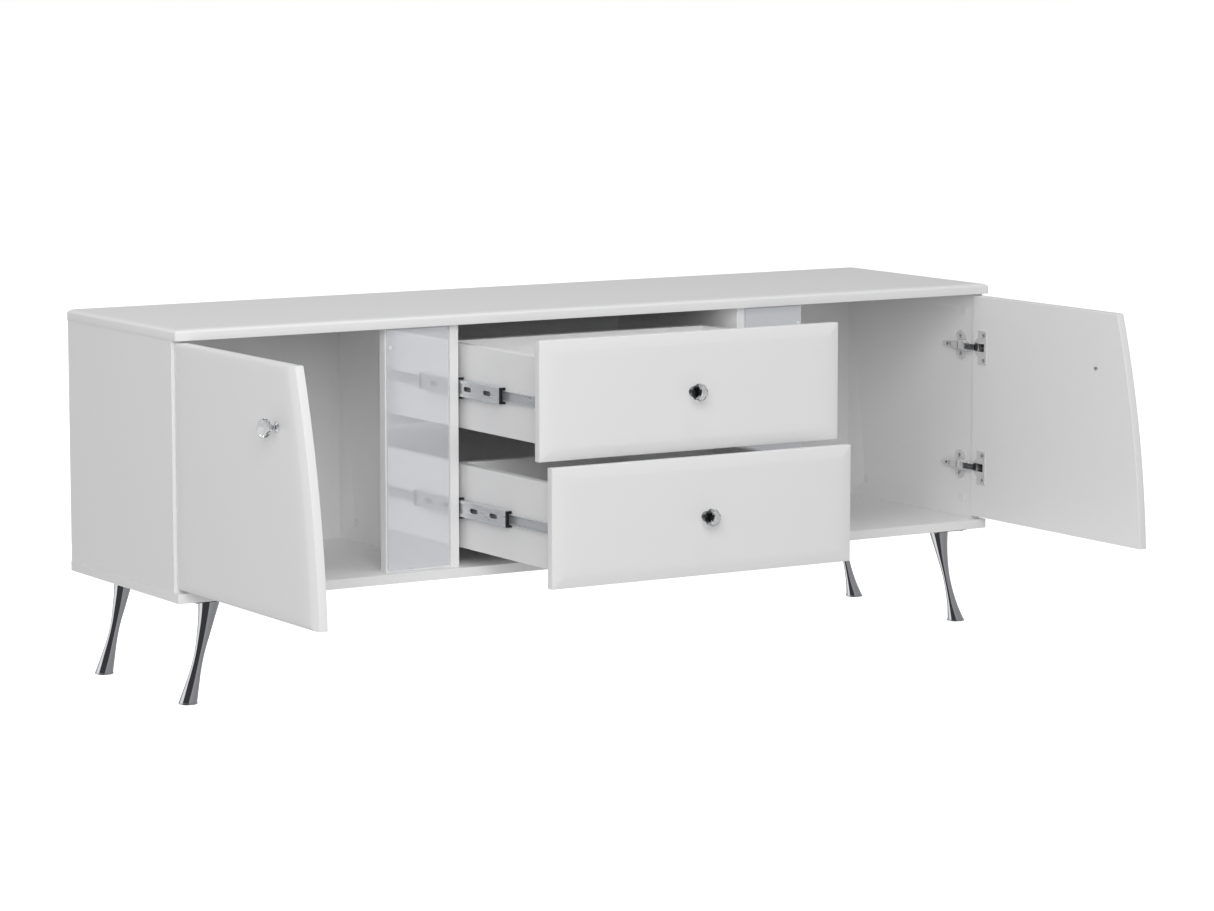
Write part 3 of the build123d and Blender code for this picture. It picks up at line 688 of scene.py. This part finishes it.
class TVSTAND_OT_drawer_fronts(bpy.types.Operator):
    """Makes the two drawer fronts: a shallow bevel runs all round and is mitred at the corners"""

    bl_idname = "tvstand.drawer_fronts"
    bl_label = "Drawer Fronts"

    def execute(self, context):
        sizes = context.scene.tvstand_sizes
        bevel = (sizes.drawer_bevel_width, sizes.drawer_bevel_drop)
        for word in DRAWERS:
            node = word + "_drawer_front"
            low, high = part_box(node)
            points, faces = moulded_board(
                lambda z: np.full_like(z, high.x - low.x),
                low.z, high.z, high.y - low.y, (bevel,) * 4, ARRIS,
            )
            placed = np.stack([low.x + points[:, 0], high.y - points[:, 2], points[:, 1]], -1)
            finish_piece(
                word + "_drawer_board", placed, faces, MATERIALS["foil"], word + "_drawer",
                "white_front", (node,), 28,
            )
        return {"FINISHED"}


# ---------------------------------------------------------------- plain boards and fittings
class TVSTAND_OT_carcass(bpy.types.Operator):
    """Eases and faces the plain boards of the cabinet"""

    bl_idname = "tvstand.carcass"
    bl_label = "Carcass"

    def execute(self, context):
        edge = context.scene.tvstand_sizes.board_edge
        eased_copy("bottom_panel", MATERIALS["melamine"], edge / 3)
        for node in ("left_side", "right_side", "left_divider", "right_divider",
                     "left_mirror_board", "right_mirror_board"):
            eased_copy(node, MATERIALS["melamine"], edge)
        eased_copy("back_panel", MATERIALS["hardboard"], edge / 2)
        eased_copy("cam_fittings", MATERIALS["cap"], edge / 2)
        return {"FINISHED"}


class TVSTAND_OT_mirrors(bpy.types.Operator):
    """Makes the mirror glasses and the small bumpers on them"""

    bl_idname = "tvstand.mirrors"
    bl_label = "Mirrors"

    def execute(self, context):
        glass_edge = 1.2 * MM
        bumper_edge = 0.4 * MM
        for word, _ in SIDES:
            eased_copy(word + "_mirror", MATERIALS["mirror"], glass_edge)
        eased_copy("door_bumpers", MATERIALS["cap"], bumper_edge)
        return {"FINISHED"}


class TVSTAND_OT_drawer_boxes(bpy.types.Operator):
    """Eases and faces the boxes of the drawers"""

    bl_idname = "tvstand.drawer_boxes"
    bl_label = "Drawer Boxes"

    def execute(self, context):
        edge = context.scene.tvstand_sizes.board_edge
        for word in DRAWERS:
            eased_copy(word + "_drawer_sides", MATERIALS["melamine"], edge)
            eased_copy(word + "_drawer_back", MATERIALS["melamine"], edge)
            eased_copy(word + "_drawer_bottom", MATERIALS["hardboard"], 0)
        return {"FINISHED"}


class TVSTAND_OT_slides(bpy.types.Operator):
    """Finishes the ball slides and their plastic ends"""

    bl_idname = "tvstand.slides"
    bl_label = "Ball Slides"

    def execute(self, context):
        edge = context.scene.tvstand_sizes.sheet_edge
        eased_copy("slide_cabinet_members", MATERIALS["zinc"], edge)
        eased_copy("slide_stops", MATERIALS["black"], edge)
        for word in DRAWERS:
            eased_copy(word + "_slide_middle_members", MATERIALS["zinc"], edge)
            eased_copy(word + "_slide_drawer_members", MATERIALS["zinc"], edge)
            eased_copy(word + "_slide_cages", MATERIALS["black"], edge)
        return {"FINISHED"}


# ---------------------------------------------------------------- hinges
# the pivot from the arm's front end, and from the face that it is screwed to
PIVOT_BACK = 3 * MM
PIVOT_OUT = 8.5 * MM
# front of a hinge arm's cheek: how far past its pivot, and how far behind the pivot, in millimetres
CHEEK_OUTLINE = ((-8.5, 14.0), (-8.5, 12.0), (-3.5, -3.0), (3.0, -3.0), (4.0, 3.0), (0.5, 14.0))
CHEEK_INNER = 5.3 * MM
CHEEK_OUTER = 7.5 * MM
PIN_RADIUS = 1.3 * MM
PIN_HALF = 6.4 * MM
# the arm is a front block and a long lever, as shares of its length; a sunken dark core between
# them is painted shade for the slit
ARM_FRONT = np.linspace(0, 0.19, 6)
ARM_GAP = np.linspace(0.17, 0.26, 4)
ARM_ROUND = 0.9
ARM_BACK = np.concatenate([
    np.linspace(0.24, ARM_ROUND, 18),
    ARM_ROUND + (1 - ARM_ROUND) * np.sin(np.linspace(0.1, 1.55, 9)),
])
GAP_SINK = 0.8
# the plate's two wings: profile as (radius, height), how thick the plate is, how far behind the
# pivot and from the arm they sit, and how much longer than high they are
LOBE_PROFILE = np.array([(8.2, 0), (9.0, 0.5), (9.0, 1.5), (8.4, 2.1)]) * MM
PLATE_THICK = 2.5 * MM
LOBE_BACK = 26 * MM
LOBE_AWAY = 16 * MM
LOBE_STRETCH = 1.7
# adjusting screws: distance behind the pivot, radius and height above the plate, in millimetres
ADJUSTERS = ((48, 3.6, 5.9), (59, 3.0, 4.9))


def smooth_step(share):
    """Rises from 0 to 1 with level ends: three times the square less twice the cube."""
    share = np.clip(share, 0, 1)
    return share**2 * (3 - 2 * share)


def arm_shell(side, base_x, pivot_y, z, share, sink=0.0):
    """The stamped arm: an arch at each step along it, made of powers of sine and cosine.

    Its half-width and height shrink along smooth steps, and a circle rounds off the back end.
    The share is how far along each step lies, and the sink makes the arch smaller all round.
    """
    y = pivot_y + (10 + 66 * share) * MM
    round_end = np.sqrt(
        np.clip(1 - (np.clip(share - ARM_ROUND, 0, 1) / (1 - ARM_ROUND)) ** 2, 0.004, 1)
    )
    half_width = (9.0 - 4.2 * smooth_step(share / 0.85) - sink) * MM * round_end
    height = (9.4 - 5.0 * smooth_step((share - 0.15) / 0.8) - sink) * MM
    arch = np.linspace(0, np.pi, 19)[None, :]
    level = z + half_width[:, None] * np.sign(np.cos(arch)) * np.abs(np.cos(arch)) ** 0.45
    inwards = height[:, None] * np.abs(np.sin(arch)) ** 0.45
    rings = np.stack([side * (base_x - inwards), y[:, None] + 0 * inwards, level], -1)
    return closed(rings)


def arm_cheek(side, pivot_x, pivot_y, low_z, high_z):
    """A flat plate between two levels with the cheek's outline."""
    outline = np.array(CHEEK_OUTLINE) * MM
    x = side * (pivot_x - outline[:, 0])
    y = pivot_y + outline[:, 1]
    return closed(np.array([np.stack([x, y, np.full_like(x, z)], -1) for z in (low_z, high_z)]))


def plate_lobe(side, base_x, y, z):
    """A wing of the mounting plate: a lathe profile on the cabinet's side, stretched along it."""
    rings, faces = lathe(LOBE_PROFILE, (side * (base_x + PLATE_THICK), y, z), (-side, 0, 0), 40)
    rings[..., 1] = y + LOBE_STRETCH * (rings[..., 1] - y)
    return rings, faces


class TVSTAND_OT_hinges(bpy.types.Operator):
    """Makes the hinge arms and plates, and finishes the links and cups"""

    bl_idname = "tvstand.hinges"
    bl_label = "Hinges"

    def execute(self, context):
        edge = context.scene.tvstand_sizes.sheet_edge
        arms, lobes, adjusting_screws_and_gap_shade = [], [], []
        for low, high in islands("hinge_arms"):
            side = -1 if low[0] < 0 else 1
            base_x = max(-low[0], high[0])
            pivot_x = base_x - PIVOT_OUT
            pivot_y = low[1] + PIVOT_BACK
            z = (low[2] + high[2]) / 2
            arms.append(arm_shell(side, base_x, pivot_y, z, ARM_FRONT))
            arms.append(arm_shell(side, base_x, pivot_y, z, ARM_BACK))
            # painted shade: a dark steel core, sunk below the arm's surface, fills the slit between
            # the front block and the lever
            adjusting_screws_and_gap_shade.append(arm_shell(side, base_x, pivot_y, z, ARM_GAP, GAP_SINK))
            for way in (-1, 1):
                arms.append(arm_cheek(
                    side, pivot_x, pivot_y, z + way * CHEEK_INNER, z + way * CHEEK_OUTER
                ))
                lobes.append(plate_lobe(side, base_x, pivot_y + LOBE_BACK, z + way * LOBE_AWAY))
            pin = [(PIN_RADIUS, -PIN_HALF), (PIN_RADIUS, PIN_HALF)]
            arms.append(lathe(pin, (side * pivot_x, pivot_y, z), (0, 0, 1), 24))
            for behind, radius, height in ADJUSTERS:
                centre = (side * (base_x - height * MM), pivot_y + behind * MM, z)
                adjusting_screws_and_gap_shade.append(screw_head(centre, (-side, 0, 0), radius * MM, 1.0 * MM, 1.4))
        for name, parts, material, slot, stands_for in (
            ("hinge_arm_stampings", arms, MATERIALS["nickel"], "steel", ("hinge_arms",)),
            ("hinge_plate_lobes", lobes, MATERIALS["nickel"], "steel", ()),
            # the adjusting screws and the painted shade core in the arm's slit share the dark steel
            ("hinge_adjusting_screws", adjusting_screws_and_gap_shade, MATERIALS["link"], "screw_steel", ()),
        ):
            finish_piece(name, *joined(parts), material, "cabinet", slot, stands_for, 40)
        eased_copy("hinge_plates", MATERIALS["nickel"], 2 * edge)
        for word, side in SIDES:
            eased_copy(word + "_hinge_links", MATERIALS["link"], edge)
            cups = eased_copy(word + "_hinge_cups", MATERIALS["nickel"], edge)
            cups.data.materials.append(MATERIALS["link"])
            # painted shade: faces deeper than the door's inner face take the dark steel, standing
            # in for the shade inside the cup's hollow
            door_low, door_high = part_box(word + "_door_panel")
            inner_x = door_low.x if side > 0 else -door_high.x
            middles = np.empty(3 * len(cups.data.polygons))
            cups.data.polygons.foreach_get("center", middles)
            deep = side * middles[::3] > inner_x + 0.2 * MM
            cups.data.polygons.foreach_set("material_index", deep.astype(np.int32))
        return {"FINISHED"}


# ---------------------------------------------------------------- screws
def screw_head(centre, normal, radius, height, recess=0.6):
    """A domed head with a cross recess, as points and faces.

    Each ring is a circle; its height is a flattened dome, less a cross-shaped pit that is deepest
    at the middle and fades towards the ends of its arms.
    """
    normal = Vector(normal).normalized()
    across = normal.orthogonal().normalized()
    beside = normal.cross(across)
    turns = 48
    angle = np.linspace(0, 2 * np.pi, turns, endpoint=False)[None, :]
    share = np.array([1.0, 1.0, 0.97, 0.9, 0.8, 0.68, 0.6, 0.5, 0.4, 0.3, 0.2, 0.1, 0.03])[:, None]
    x = share * np.cos(angle)
    y = share * np.sin(angle)
    dome = height * (0.55 + 0.45 * np.sqrt(np.clip(1 - share**2, 0, 1)))
    arm = np.minimum(np.abs(x), np.abs(y))
    pit = np.clip(1.6 - arm / 0.09, 0, 1) * np.clip(1.4 - share / 0.5, 0, 1)
    level = dome - recess * height * pit
    level[0] = 0.0
    spots = (
        radius * (x[..., None] * np.array(across) + y[..., None] * np.array(beside))
        + level[..., None] * np.array(normal)
        + np.array(centre)
    )
    return closed(spots)


class TVSTAND_OT_screws(bpy.types.Operator):
    """Makes the heads of every screw that can be seen"""

    bl_idname = "tvstand.screws"
    bl_label = "Screws"

    def execute(self, context):
        # node, thin axis of the head, and which way it points on the left and the right
        for node, axis, left_way, right_way in (
            ("hinge_plate_screws", 0, 1, -1),
            ("left_cup_screws", 0, 1, 1),
            ("right_cup_screws", 0, -1, -1),
            ("leg_screws", 2, -1, -1),
        ):
            heads = []
            for low, high in islands(node):
                middle = (low + high) / 2
                way = left_way if middle[0] < 0 else right_way
                normal = np.eye(3)[axis] * way
                centre = middle.copy()
                centre[axis] = low[axis] if way > 0 else high[axis]
                radius = max(high - low) / 2
                heads.append(screw_head(centre, normal, radius, (high - low)[axis]))
            finish_piece(
                node + "_heads", *joined(heads), MATERIALS["screw"], body_of(node), slot_of(node),
                (node,), 40,
            )
        return {"FINISHED"}


# ---------------------------------------------------------------- knobs
def brilliant(sides):
    """Faceted crystal as rings of (radius, height) in millimetres, each turned by half a side."""
    half = np.pi / sides
    return (
        (6.0, 11.0, 0.0), (11.0, 14.2, half), (15.0, 18.4, 0.0), (15.0, 21.2, half),
        (12.6, 26.4, 0.0), (8.2, 30.0, half), (0.4, 31.0, 0.0),
    )


def knob_crystal(origin, axis):
    """The crystal: neighbouring rings are joined by triangles, so that each facet is flat."""
    sides = 12
    axis = Vector(axis)
    across = axis.orthogonal().normalized()
    beside = axis.cross(across)
    rings = []
    for radius, height, turn in brilliant(sides):
        angle = np.linspace(0, 2 * np.pi, sides, endpoint=False) + turn
        ring = np.cos(angle)[:, None] * np.array(across) + np.sin(angle)[:, None] * np.array(beside)
        rings.append(radius * MM * ring + height * MM * np.array(axis) + np.array(origin))
    rings = np.array(rings)
    faces = []
    for row, (_, _, turn) in enumerate(brilliant(sides)[:-1]):
        lead = 0 if turn == 0 else 1
        a = row * sides + np.arange(sides)
        b = row * sides + (np.arange(sides) + 1) % sides
        c = (row + 1) * sides + (np.arange(sides) + lead) % sides
        d = (row + 1) * sides + (np.arange(sides) + lead - 1) % sides
        faces += np.stack([a, b, c], -1).tolist() + np.stack([a, c, d], -1).tolist()
    last = (len(rings) - 1) * sides
    return rings, faces + [list(range(sides)), [last + i for i in range(sides)]]


def knob_foot(origin, axis):
    """The turned metal foot: a trumpet, a neck and a dished seat, as one lathe profile."""
    sweep = np.linspace(0, 1, 9)
    trumpet = np.stack([3.3 + 5.2 * (1 - sweep) ** 2.2, 0.8 + 5.2 * sweep], -1)
    seat = np.stack([3.3 + 2.7 * sweep**1.8, 6.0 + 5.0 * sweep], -1)[1:]
    start_ring = np.array([[8.2, 0.0], [8.5, 0.3]])
    end_ring = np.array([[5.6, 11.0]])
    profile = np.concatenate([start_ring, trumpet, seat, end_ring]) * MM
    return lathe(profile, origin, axis, 48)


class TVSTAND_OT_knobs(bpy.types.Operator):
    """Makes the crystal knobs, their chromed feet and the screw heads behind them"""

    bl_idname = "tvstand.knobs"
    bl_label = "Knobs"

    def execute(self, context):
        head_height = 2.2 * MM
        head_radius = 4.2 * MM
        places = [(word + "_door", (side, 0, 0)) for word, side in SIDES]
        places += [(word + "_drawer", (0, -1, 0)) for word in DRAWERS]
        for body, axis in places:
            outwards = np.array(axis, float)
            low, high = (np.array(corner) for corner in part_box(body + "_knob_base"))
            middle = (low + high) / 2
            origin = np.where(outwards == 0, middle, np.where(outwards > 0, low, high))
            finish_piece(
                body + "_knob_glass", *knob_crystal(origin, axis), MATERIALS["crystal"], body,
                "crystal", (body + "_knob_crystal",), 0,
            )
            finish_piece(
                body + "_knob_foot", *knob_foot(origin, axis), MATERIALS["chrome"], body,
                "chrome", (body + "_knob_base",), 40,
            )
            low, high = (np.array(corner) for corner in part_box(body + "_knob_screw"))
            inner = np.where(outwards > 0, low, high)
            centre = np.where(outwards == 0, middle, inner + outwards * head_height)
            finish_piece(
                body + "_knob_screw_head", *screw_head(centre, -outwards, head_radius, head_height),
                MATERIALS["screw"], body, "screw_steel", (body + "_knob_screw",), 40,
            )
        return {"FINISHED"}


# ---------------------------------------------------------------- legs
LEG_SECTIONS = np.array([
    # drop below the cabinet, long half-width, short half-width
    (3, 18.0, 17.4), (30, 14.0, 12.7), (60, 10.8, 8.5), (90, 8.4, 6.1),
    (115, 9.0, 6.5), (142, 11.8, 9.0), (168, 15.0, 14.2),
]) * MM


# how far out a leg's axis starts, how far it leans out over its length, and how it is turned
LEG_START = 725.5 * MM
LEG_LEAN = 41 * MM
LEG_TURN = radians(35)
# thickness of the plate between the cabinet and the leg
LEG_PLATE = 3 * MM


def through(at, knots, values):
    """A smooth curve through the knots: cubic pieces whose slopes are those of the neighbours."""
    slope = np.gradient(values, knots)
    index = np.clip(np.searchsorted(knots, at, side="right") - 1, 0, len(knots) - 2)
    span = knots[index + 1] - knots[index]
    t = (at - knots[index]) / span
    return (
        (2 * t**3 - 3 * t**2 + 1) * values[index]
        + (t**3 - 2 * t**2 + t) * span * slope[index]
        + (3 * t**2 - 2 * t**3) * values[index + 1]
        + (t**3 - t**2) * span * slope[index + 1]
    )


def leg_surface(node, side):
    """One leg: ellipses along a line that leans outwards, turned so that the waist is flat.

    The axis moves out by the lean times the share of the way down, raised to the power 1.2.
    """
    low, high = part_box(node)
    plate_z = high.z + LEG_PLATE
    centre_y = (low.y + high.y) / 2
    drop = np.linspace(LEG_SECTIONS[0, 0], plate_z - low.z, 44)
    share = (drop - LEG_SECTIONS[0, 0]) / LEG_SECTIONS[-1, 0]
    centre_x = side * (LEG_START + LEG_LEAN * np.clip(share, 0, 1) ** 1.2)
    long_half = through(drop, LEG_SECTIONS[:, 0], LEG_SECTIONS[:, 1])
    short_half = through(drop, LEG_SECTIONS[:, 0], LEG_SECTIONS[:, 2])
    turn = side * LEG_TURN
    angle = np.linspace(0, 2 * np.pi, 72, endpoint=False)[None, :]
    along = long_half[:, None] * np.cos(angle)
    across = short_half[:, None] * np.sin(angle)
    x = centre_x[:, None] + along * np.cos(turn) - across * np.sin(turn)
    y = centre_y + along * np.sin(turn) + across * np.cos(turn)
    z = (plate_z - drop)[:, None] + 0 * x
    rings = np.stack([x, y, z], -1)
    return closed(rings)


class TVSTAND_OT_legs(bpy.types.Operator):
    """Makes the four legs and finishes their plates and foot discs"""

    bl_idname = "tvstand.legs"
    bl_label = "Legs"

    def execute(self, context):
        for row in ("front", "back"):
            for word, side in SIDES:
                node = f"{row}_{word}_leg"
                finish_piece(
                    node + "_casting", *leg_surface(node, side), MATERIALS["leg"], "cabinet",
                    "leg_metal", (node,), 40,
                )
        disc_edge = 0.6 * MM
        eased_copy("leg_plates", MATERIALS["coat"], disc_edge)
        eased_copy("foot_pads", MATERIALS["foot"], disc_edge)
        return {"FINISHED"}


# ---------------------------------------------------------------- studio
# the room that polished surfaces reflect: (share of a turn, grey), from the left round the front
ROOM_DIM = (0.065, 0.065, 0.07, 1)
ROOM_BANDS = (
    (0.190, 0.065), (0.200, 0.46), (0.30, 0.40), (0.40, 0.36), (0.62, 0.45), (0.840, 0.55),
    (0.855, 1.2), (0.968, 1.2), (0.978, 0.065),
)
# the floor's own light where the camera sees it, and what everything else gets from it
FLOOR_LIFT = 0.85
FLOOR_GREY = 0.45
FLOOR_REACH = 40.0
CORNERS = ((-1, -1), (1, -1), (1, 1), (-1, 1))
# the soft lights: which setting gives their watts, where they hang, what they face and their size
LIGHTS = (
    ("key_light", (-2.6, -4.4, 2.4), (0, 0, 0.35), 3.0),
    ("top_light", (-0.3, -0.6, 4.4), (0, 0, 0.3), 3.0),
    ("left_light", (-5.0, -1.6, 1.5), (0, 0, 0.35), 2.8),
)


def area_light(name, place, aim, size, power):
    """A square soft light that faces a point."""
    data = bpy.data.lights.new(name, "AREA")
    data.size = size
    data.energy = power
    light = bpy.data.objects.new(name, data)
    light.location = place
    light.rotation_euler = (Vector(aim) - Vector(place)).to_track_quat("-Z", "Y").to_euler()
    light.visible_glossy = False
    bpy.context.scene.collection.objects.link(light)


def studio_world(strength):
    """Even light for surfaces, and a room of soft boxes for polished surfaces to reflect."""
    world = bpy.data.worlds.new("studio")
    bpy.context.scene.world = world
    world.use_nodes = True
    tree = world.node_tree
    tree.nodes.clear()
    direction = add(tree, "ShaderNodeTexCoord", {}, {}).outputs["Generated"]
    turn = add(
        tree, "ShaderNodeTexGradient", {"gradient_type": "RADIAL"}, {"Vector": direction}
    )
    bands = add(tree, "ShaderNodeValToRGB", {}, {"Fac": turn.outputs["Fac"]})
    ramp = bands.color_ramp
    first, last = ramp.elements
    first.position, last.position = 0.0, 1.0
    first.color = last.color = ROOM_DIM
    for position, grey in ROOM_BANDS:
        ramp.elements.new(position).color = (grey, grey, grey * 1.02, 1)
    room = add(
        tree, "ShaderNodeBackground", {}, {"Color": bands.outputs["Color"], "Strength": 1.0}
    )
    even = add(tree, "ShaderNodeBackground", {}, {"Color": (1, 1, 1, 1), "Strength": strength})
    pale = add(tree, "ShaderNodeBackground", {}, {"Color": (1, 1, 1, 1), "Strength": 1.0})
    rays = add(tree, "ShaderNodeLightPath", {}, {})
    polished = add(
        tree, "ShaderNodeMath", {"operation": "MAXIMUM"},
        {0: rays.outputs["Is Glossy Ray"], 1: rays.outputs["Is Transmission Ray"]},
    )
    lit = add(
        tree, "ShaderNodeMixShader", {},
        {0: polished.outputs[0], 1: even.outputs[0], 2: room.outputs[0]},
    )
    seen = add(
        tree, "ShaderNodeMixShader", {},
        {0: rays.outputs["Is Camera Ray"], 1: lit.outputs[0], 2: pale.outputs[0]},
    )
    add(tree, "ShaderNodeOutputWorld", {}, {"Surface": seen.outputs[0]})


def floor_material(base):
    """Pale floor: bright where it is seen, and a calm mid grey in what it lights."""
    made = bpy.data.materials.new("pale matte studio floor")
    made.use_nodes = True
    tree = made.node_tree
    tree.nodes.clear()
    place = add(tree, "ShaderNodeTexCoord", {}, {}).outputs["Object"]
    matte = add(tree, "ShaderNodeBsdfDiffuse", {}, {})
    tinted(tree, matte, tuple(base), grain(tree, place, 900), 0.01, "Color")
    lift = add(tree, "ShaderNodeEmission", {}, {"Color": (1, 1, 1, 1), "Strength": FLOOR_LIFT})
    bright = add(tree, "ShaderNodeAddShader", {}, {0: matte.outputs[0], 1: lift.outputs[0]})
    calm = add(tree, "ShaderNodeEmission", {}, {"Color": (1, 1, 1, 1), "Strength": FLOOR_GREY})
    rays = add(tree, "ShaderNodeLightPath", {}, {})
    seen = add(
        tree, "ShaderNodeMixShader", {},
        {0: rays.outputs["Is Camera Ray"], 1: calm.outputs[0], 2: bright.outputs[0]},
    )
    add(tree, "ShaderNodeOutputMaterial", {}, {"Surface": seen.outputs[0]})
    return made


class TVSTAND_OT_studio(bpy.types.Operator):
    """Sets up the pale floor, the soft lights and the camera"""

    bl_idname = "tvstand.studio"
    bl_label = "Studio"

    def execute(self, context):
        studio = context.scene.tvstand_studio
        studio_world(studio.room_light)
        for key, place, aim, size in LIGHTS:
            area_light(key.replace("_", " "), place, aim, size, getattr(studio, key))
        mesh = bpy.data.meshes.new("floor")
        corners = [(x * FLOOR_REACH, y * FLOOR_REACH, 0) for x, y in CORNERS]
        mesh.from_pydata(corners, [], [(0, 1, 2, 3)])
        mesh.materials.append(floor_material(context.scene.tvstand_colours.floor))
        floor = bpy.data.objects.new("floor", mesh)
        context.scene.collection.objects.link(floor)
        floor.visible_glossy = False

        data = bpy.data.cameras.new("camera")
        data.lens = studio.lens
        data.clip_end = 100
        camera = bpy.data.objects.new("camera", data)
        camera.location = studio.camera_place
        camera.rotation_euler = (radians(90) - studio.camera_tilt, 0, -studio.camera_turn)
        context.scene.collection.objects.link(camera)
        context.scene.camera = camera
        context.scene.view_settings.view_transform = "Standard"
        return {"FINISHED"}


class TVSTAND_PT_panel(bpy.types.Panel):
    """Lists the steps and the settings in the sidebar"""

    bl_idname = "TVSTAND_PT_panel"
    bl_label = "TV Stand"
    bl_space_type = "VIEW_3D"
    bl_region_type = "UI"
    bl_category = "TV Stand"

    def draw(self, context):
        for step in STEPS:
            self.layout.operator(step.bl_idname)
        for group in ("tvstand_sizes", "tvstand_colours", "tvstand_studio"):
            settings = getattr(context.scene, group)
            box = self.layout.box()
            for key in settings.__annotations__:
                box.prop(settings, key)


STEPS = (
    TVSTAND_OT_studio, TVSTAND_OT_top_board, TVSTAND_OT_carcass, TVSTAND_OT_mirrors,
    TVSTAND_OT_doors, TVSTAND_OT_drawer_fronts, TVSTAND_OT_drawer_boxes, TVSTAND_OT_slides,
    TVSTAND_OT_hinges, TVSTAND_OT_screws, TVSTAND_OT_knobs, TVSTAND_OT_legs,
)
GROUPS = {
    "tvstand_sizes": StandSizes, "tvstand_colours": StandColours, "tvstand_studio": StudioSettings,
}
MATERIALS = {}


def register():
    """Registers the classes and hangs the settings on the scene."""
    for kind in (*GROUPS.values(), *STEPS, TVSTAND_PT_panel):
        bpy.utils.register_class(kind)
    for key, group in GROUPS.items():
        setattr(bpy.types.Scene, key, bpy.props.PointerProperty(type=group))


def unregister():
    """Takes everything that register added away again."""
    for key in GROUPS:
        delattr(bpy.types.Scene, key)
    for kind in (TVSTAND_PT_panel, *reversed(STEPS), *reversed(GROUPS.values())):
        bpy.utils.unregister_class(kind)


def main():
    """Runs every step in order."""
    register()
    MATERIALS.update(make_materials(bpy.context.scene.tvstand_colours))
    for step in STEPS:
        group, name = step.bl_idname.split(".")
        getattr(getattr(bpy.ops, group), name)()


if __name__ == "__main__":
    main()
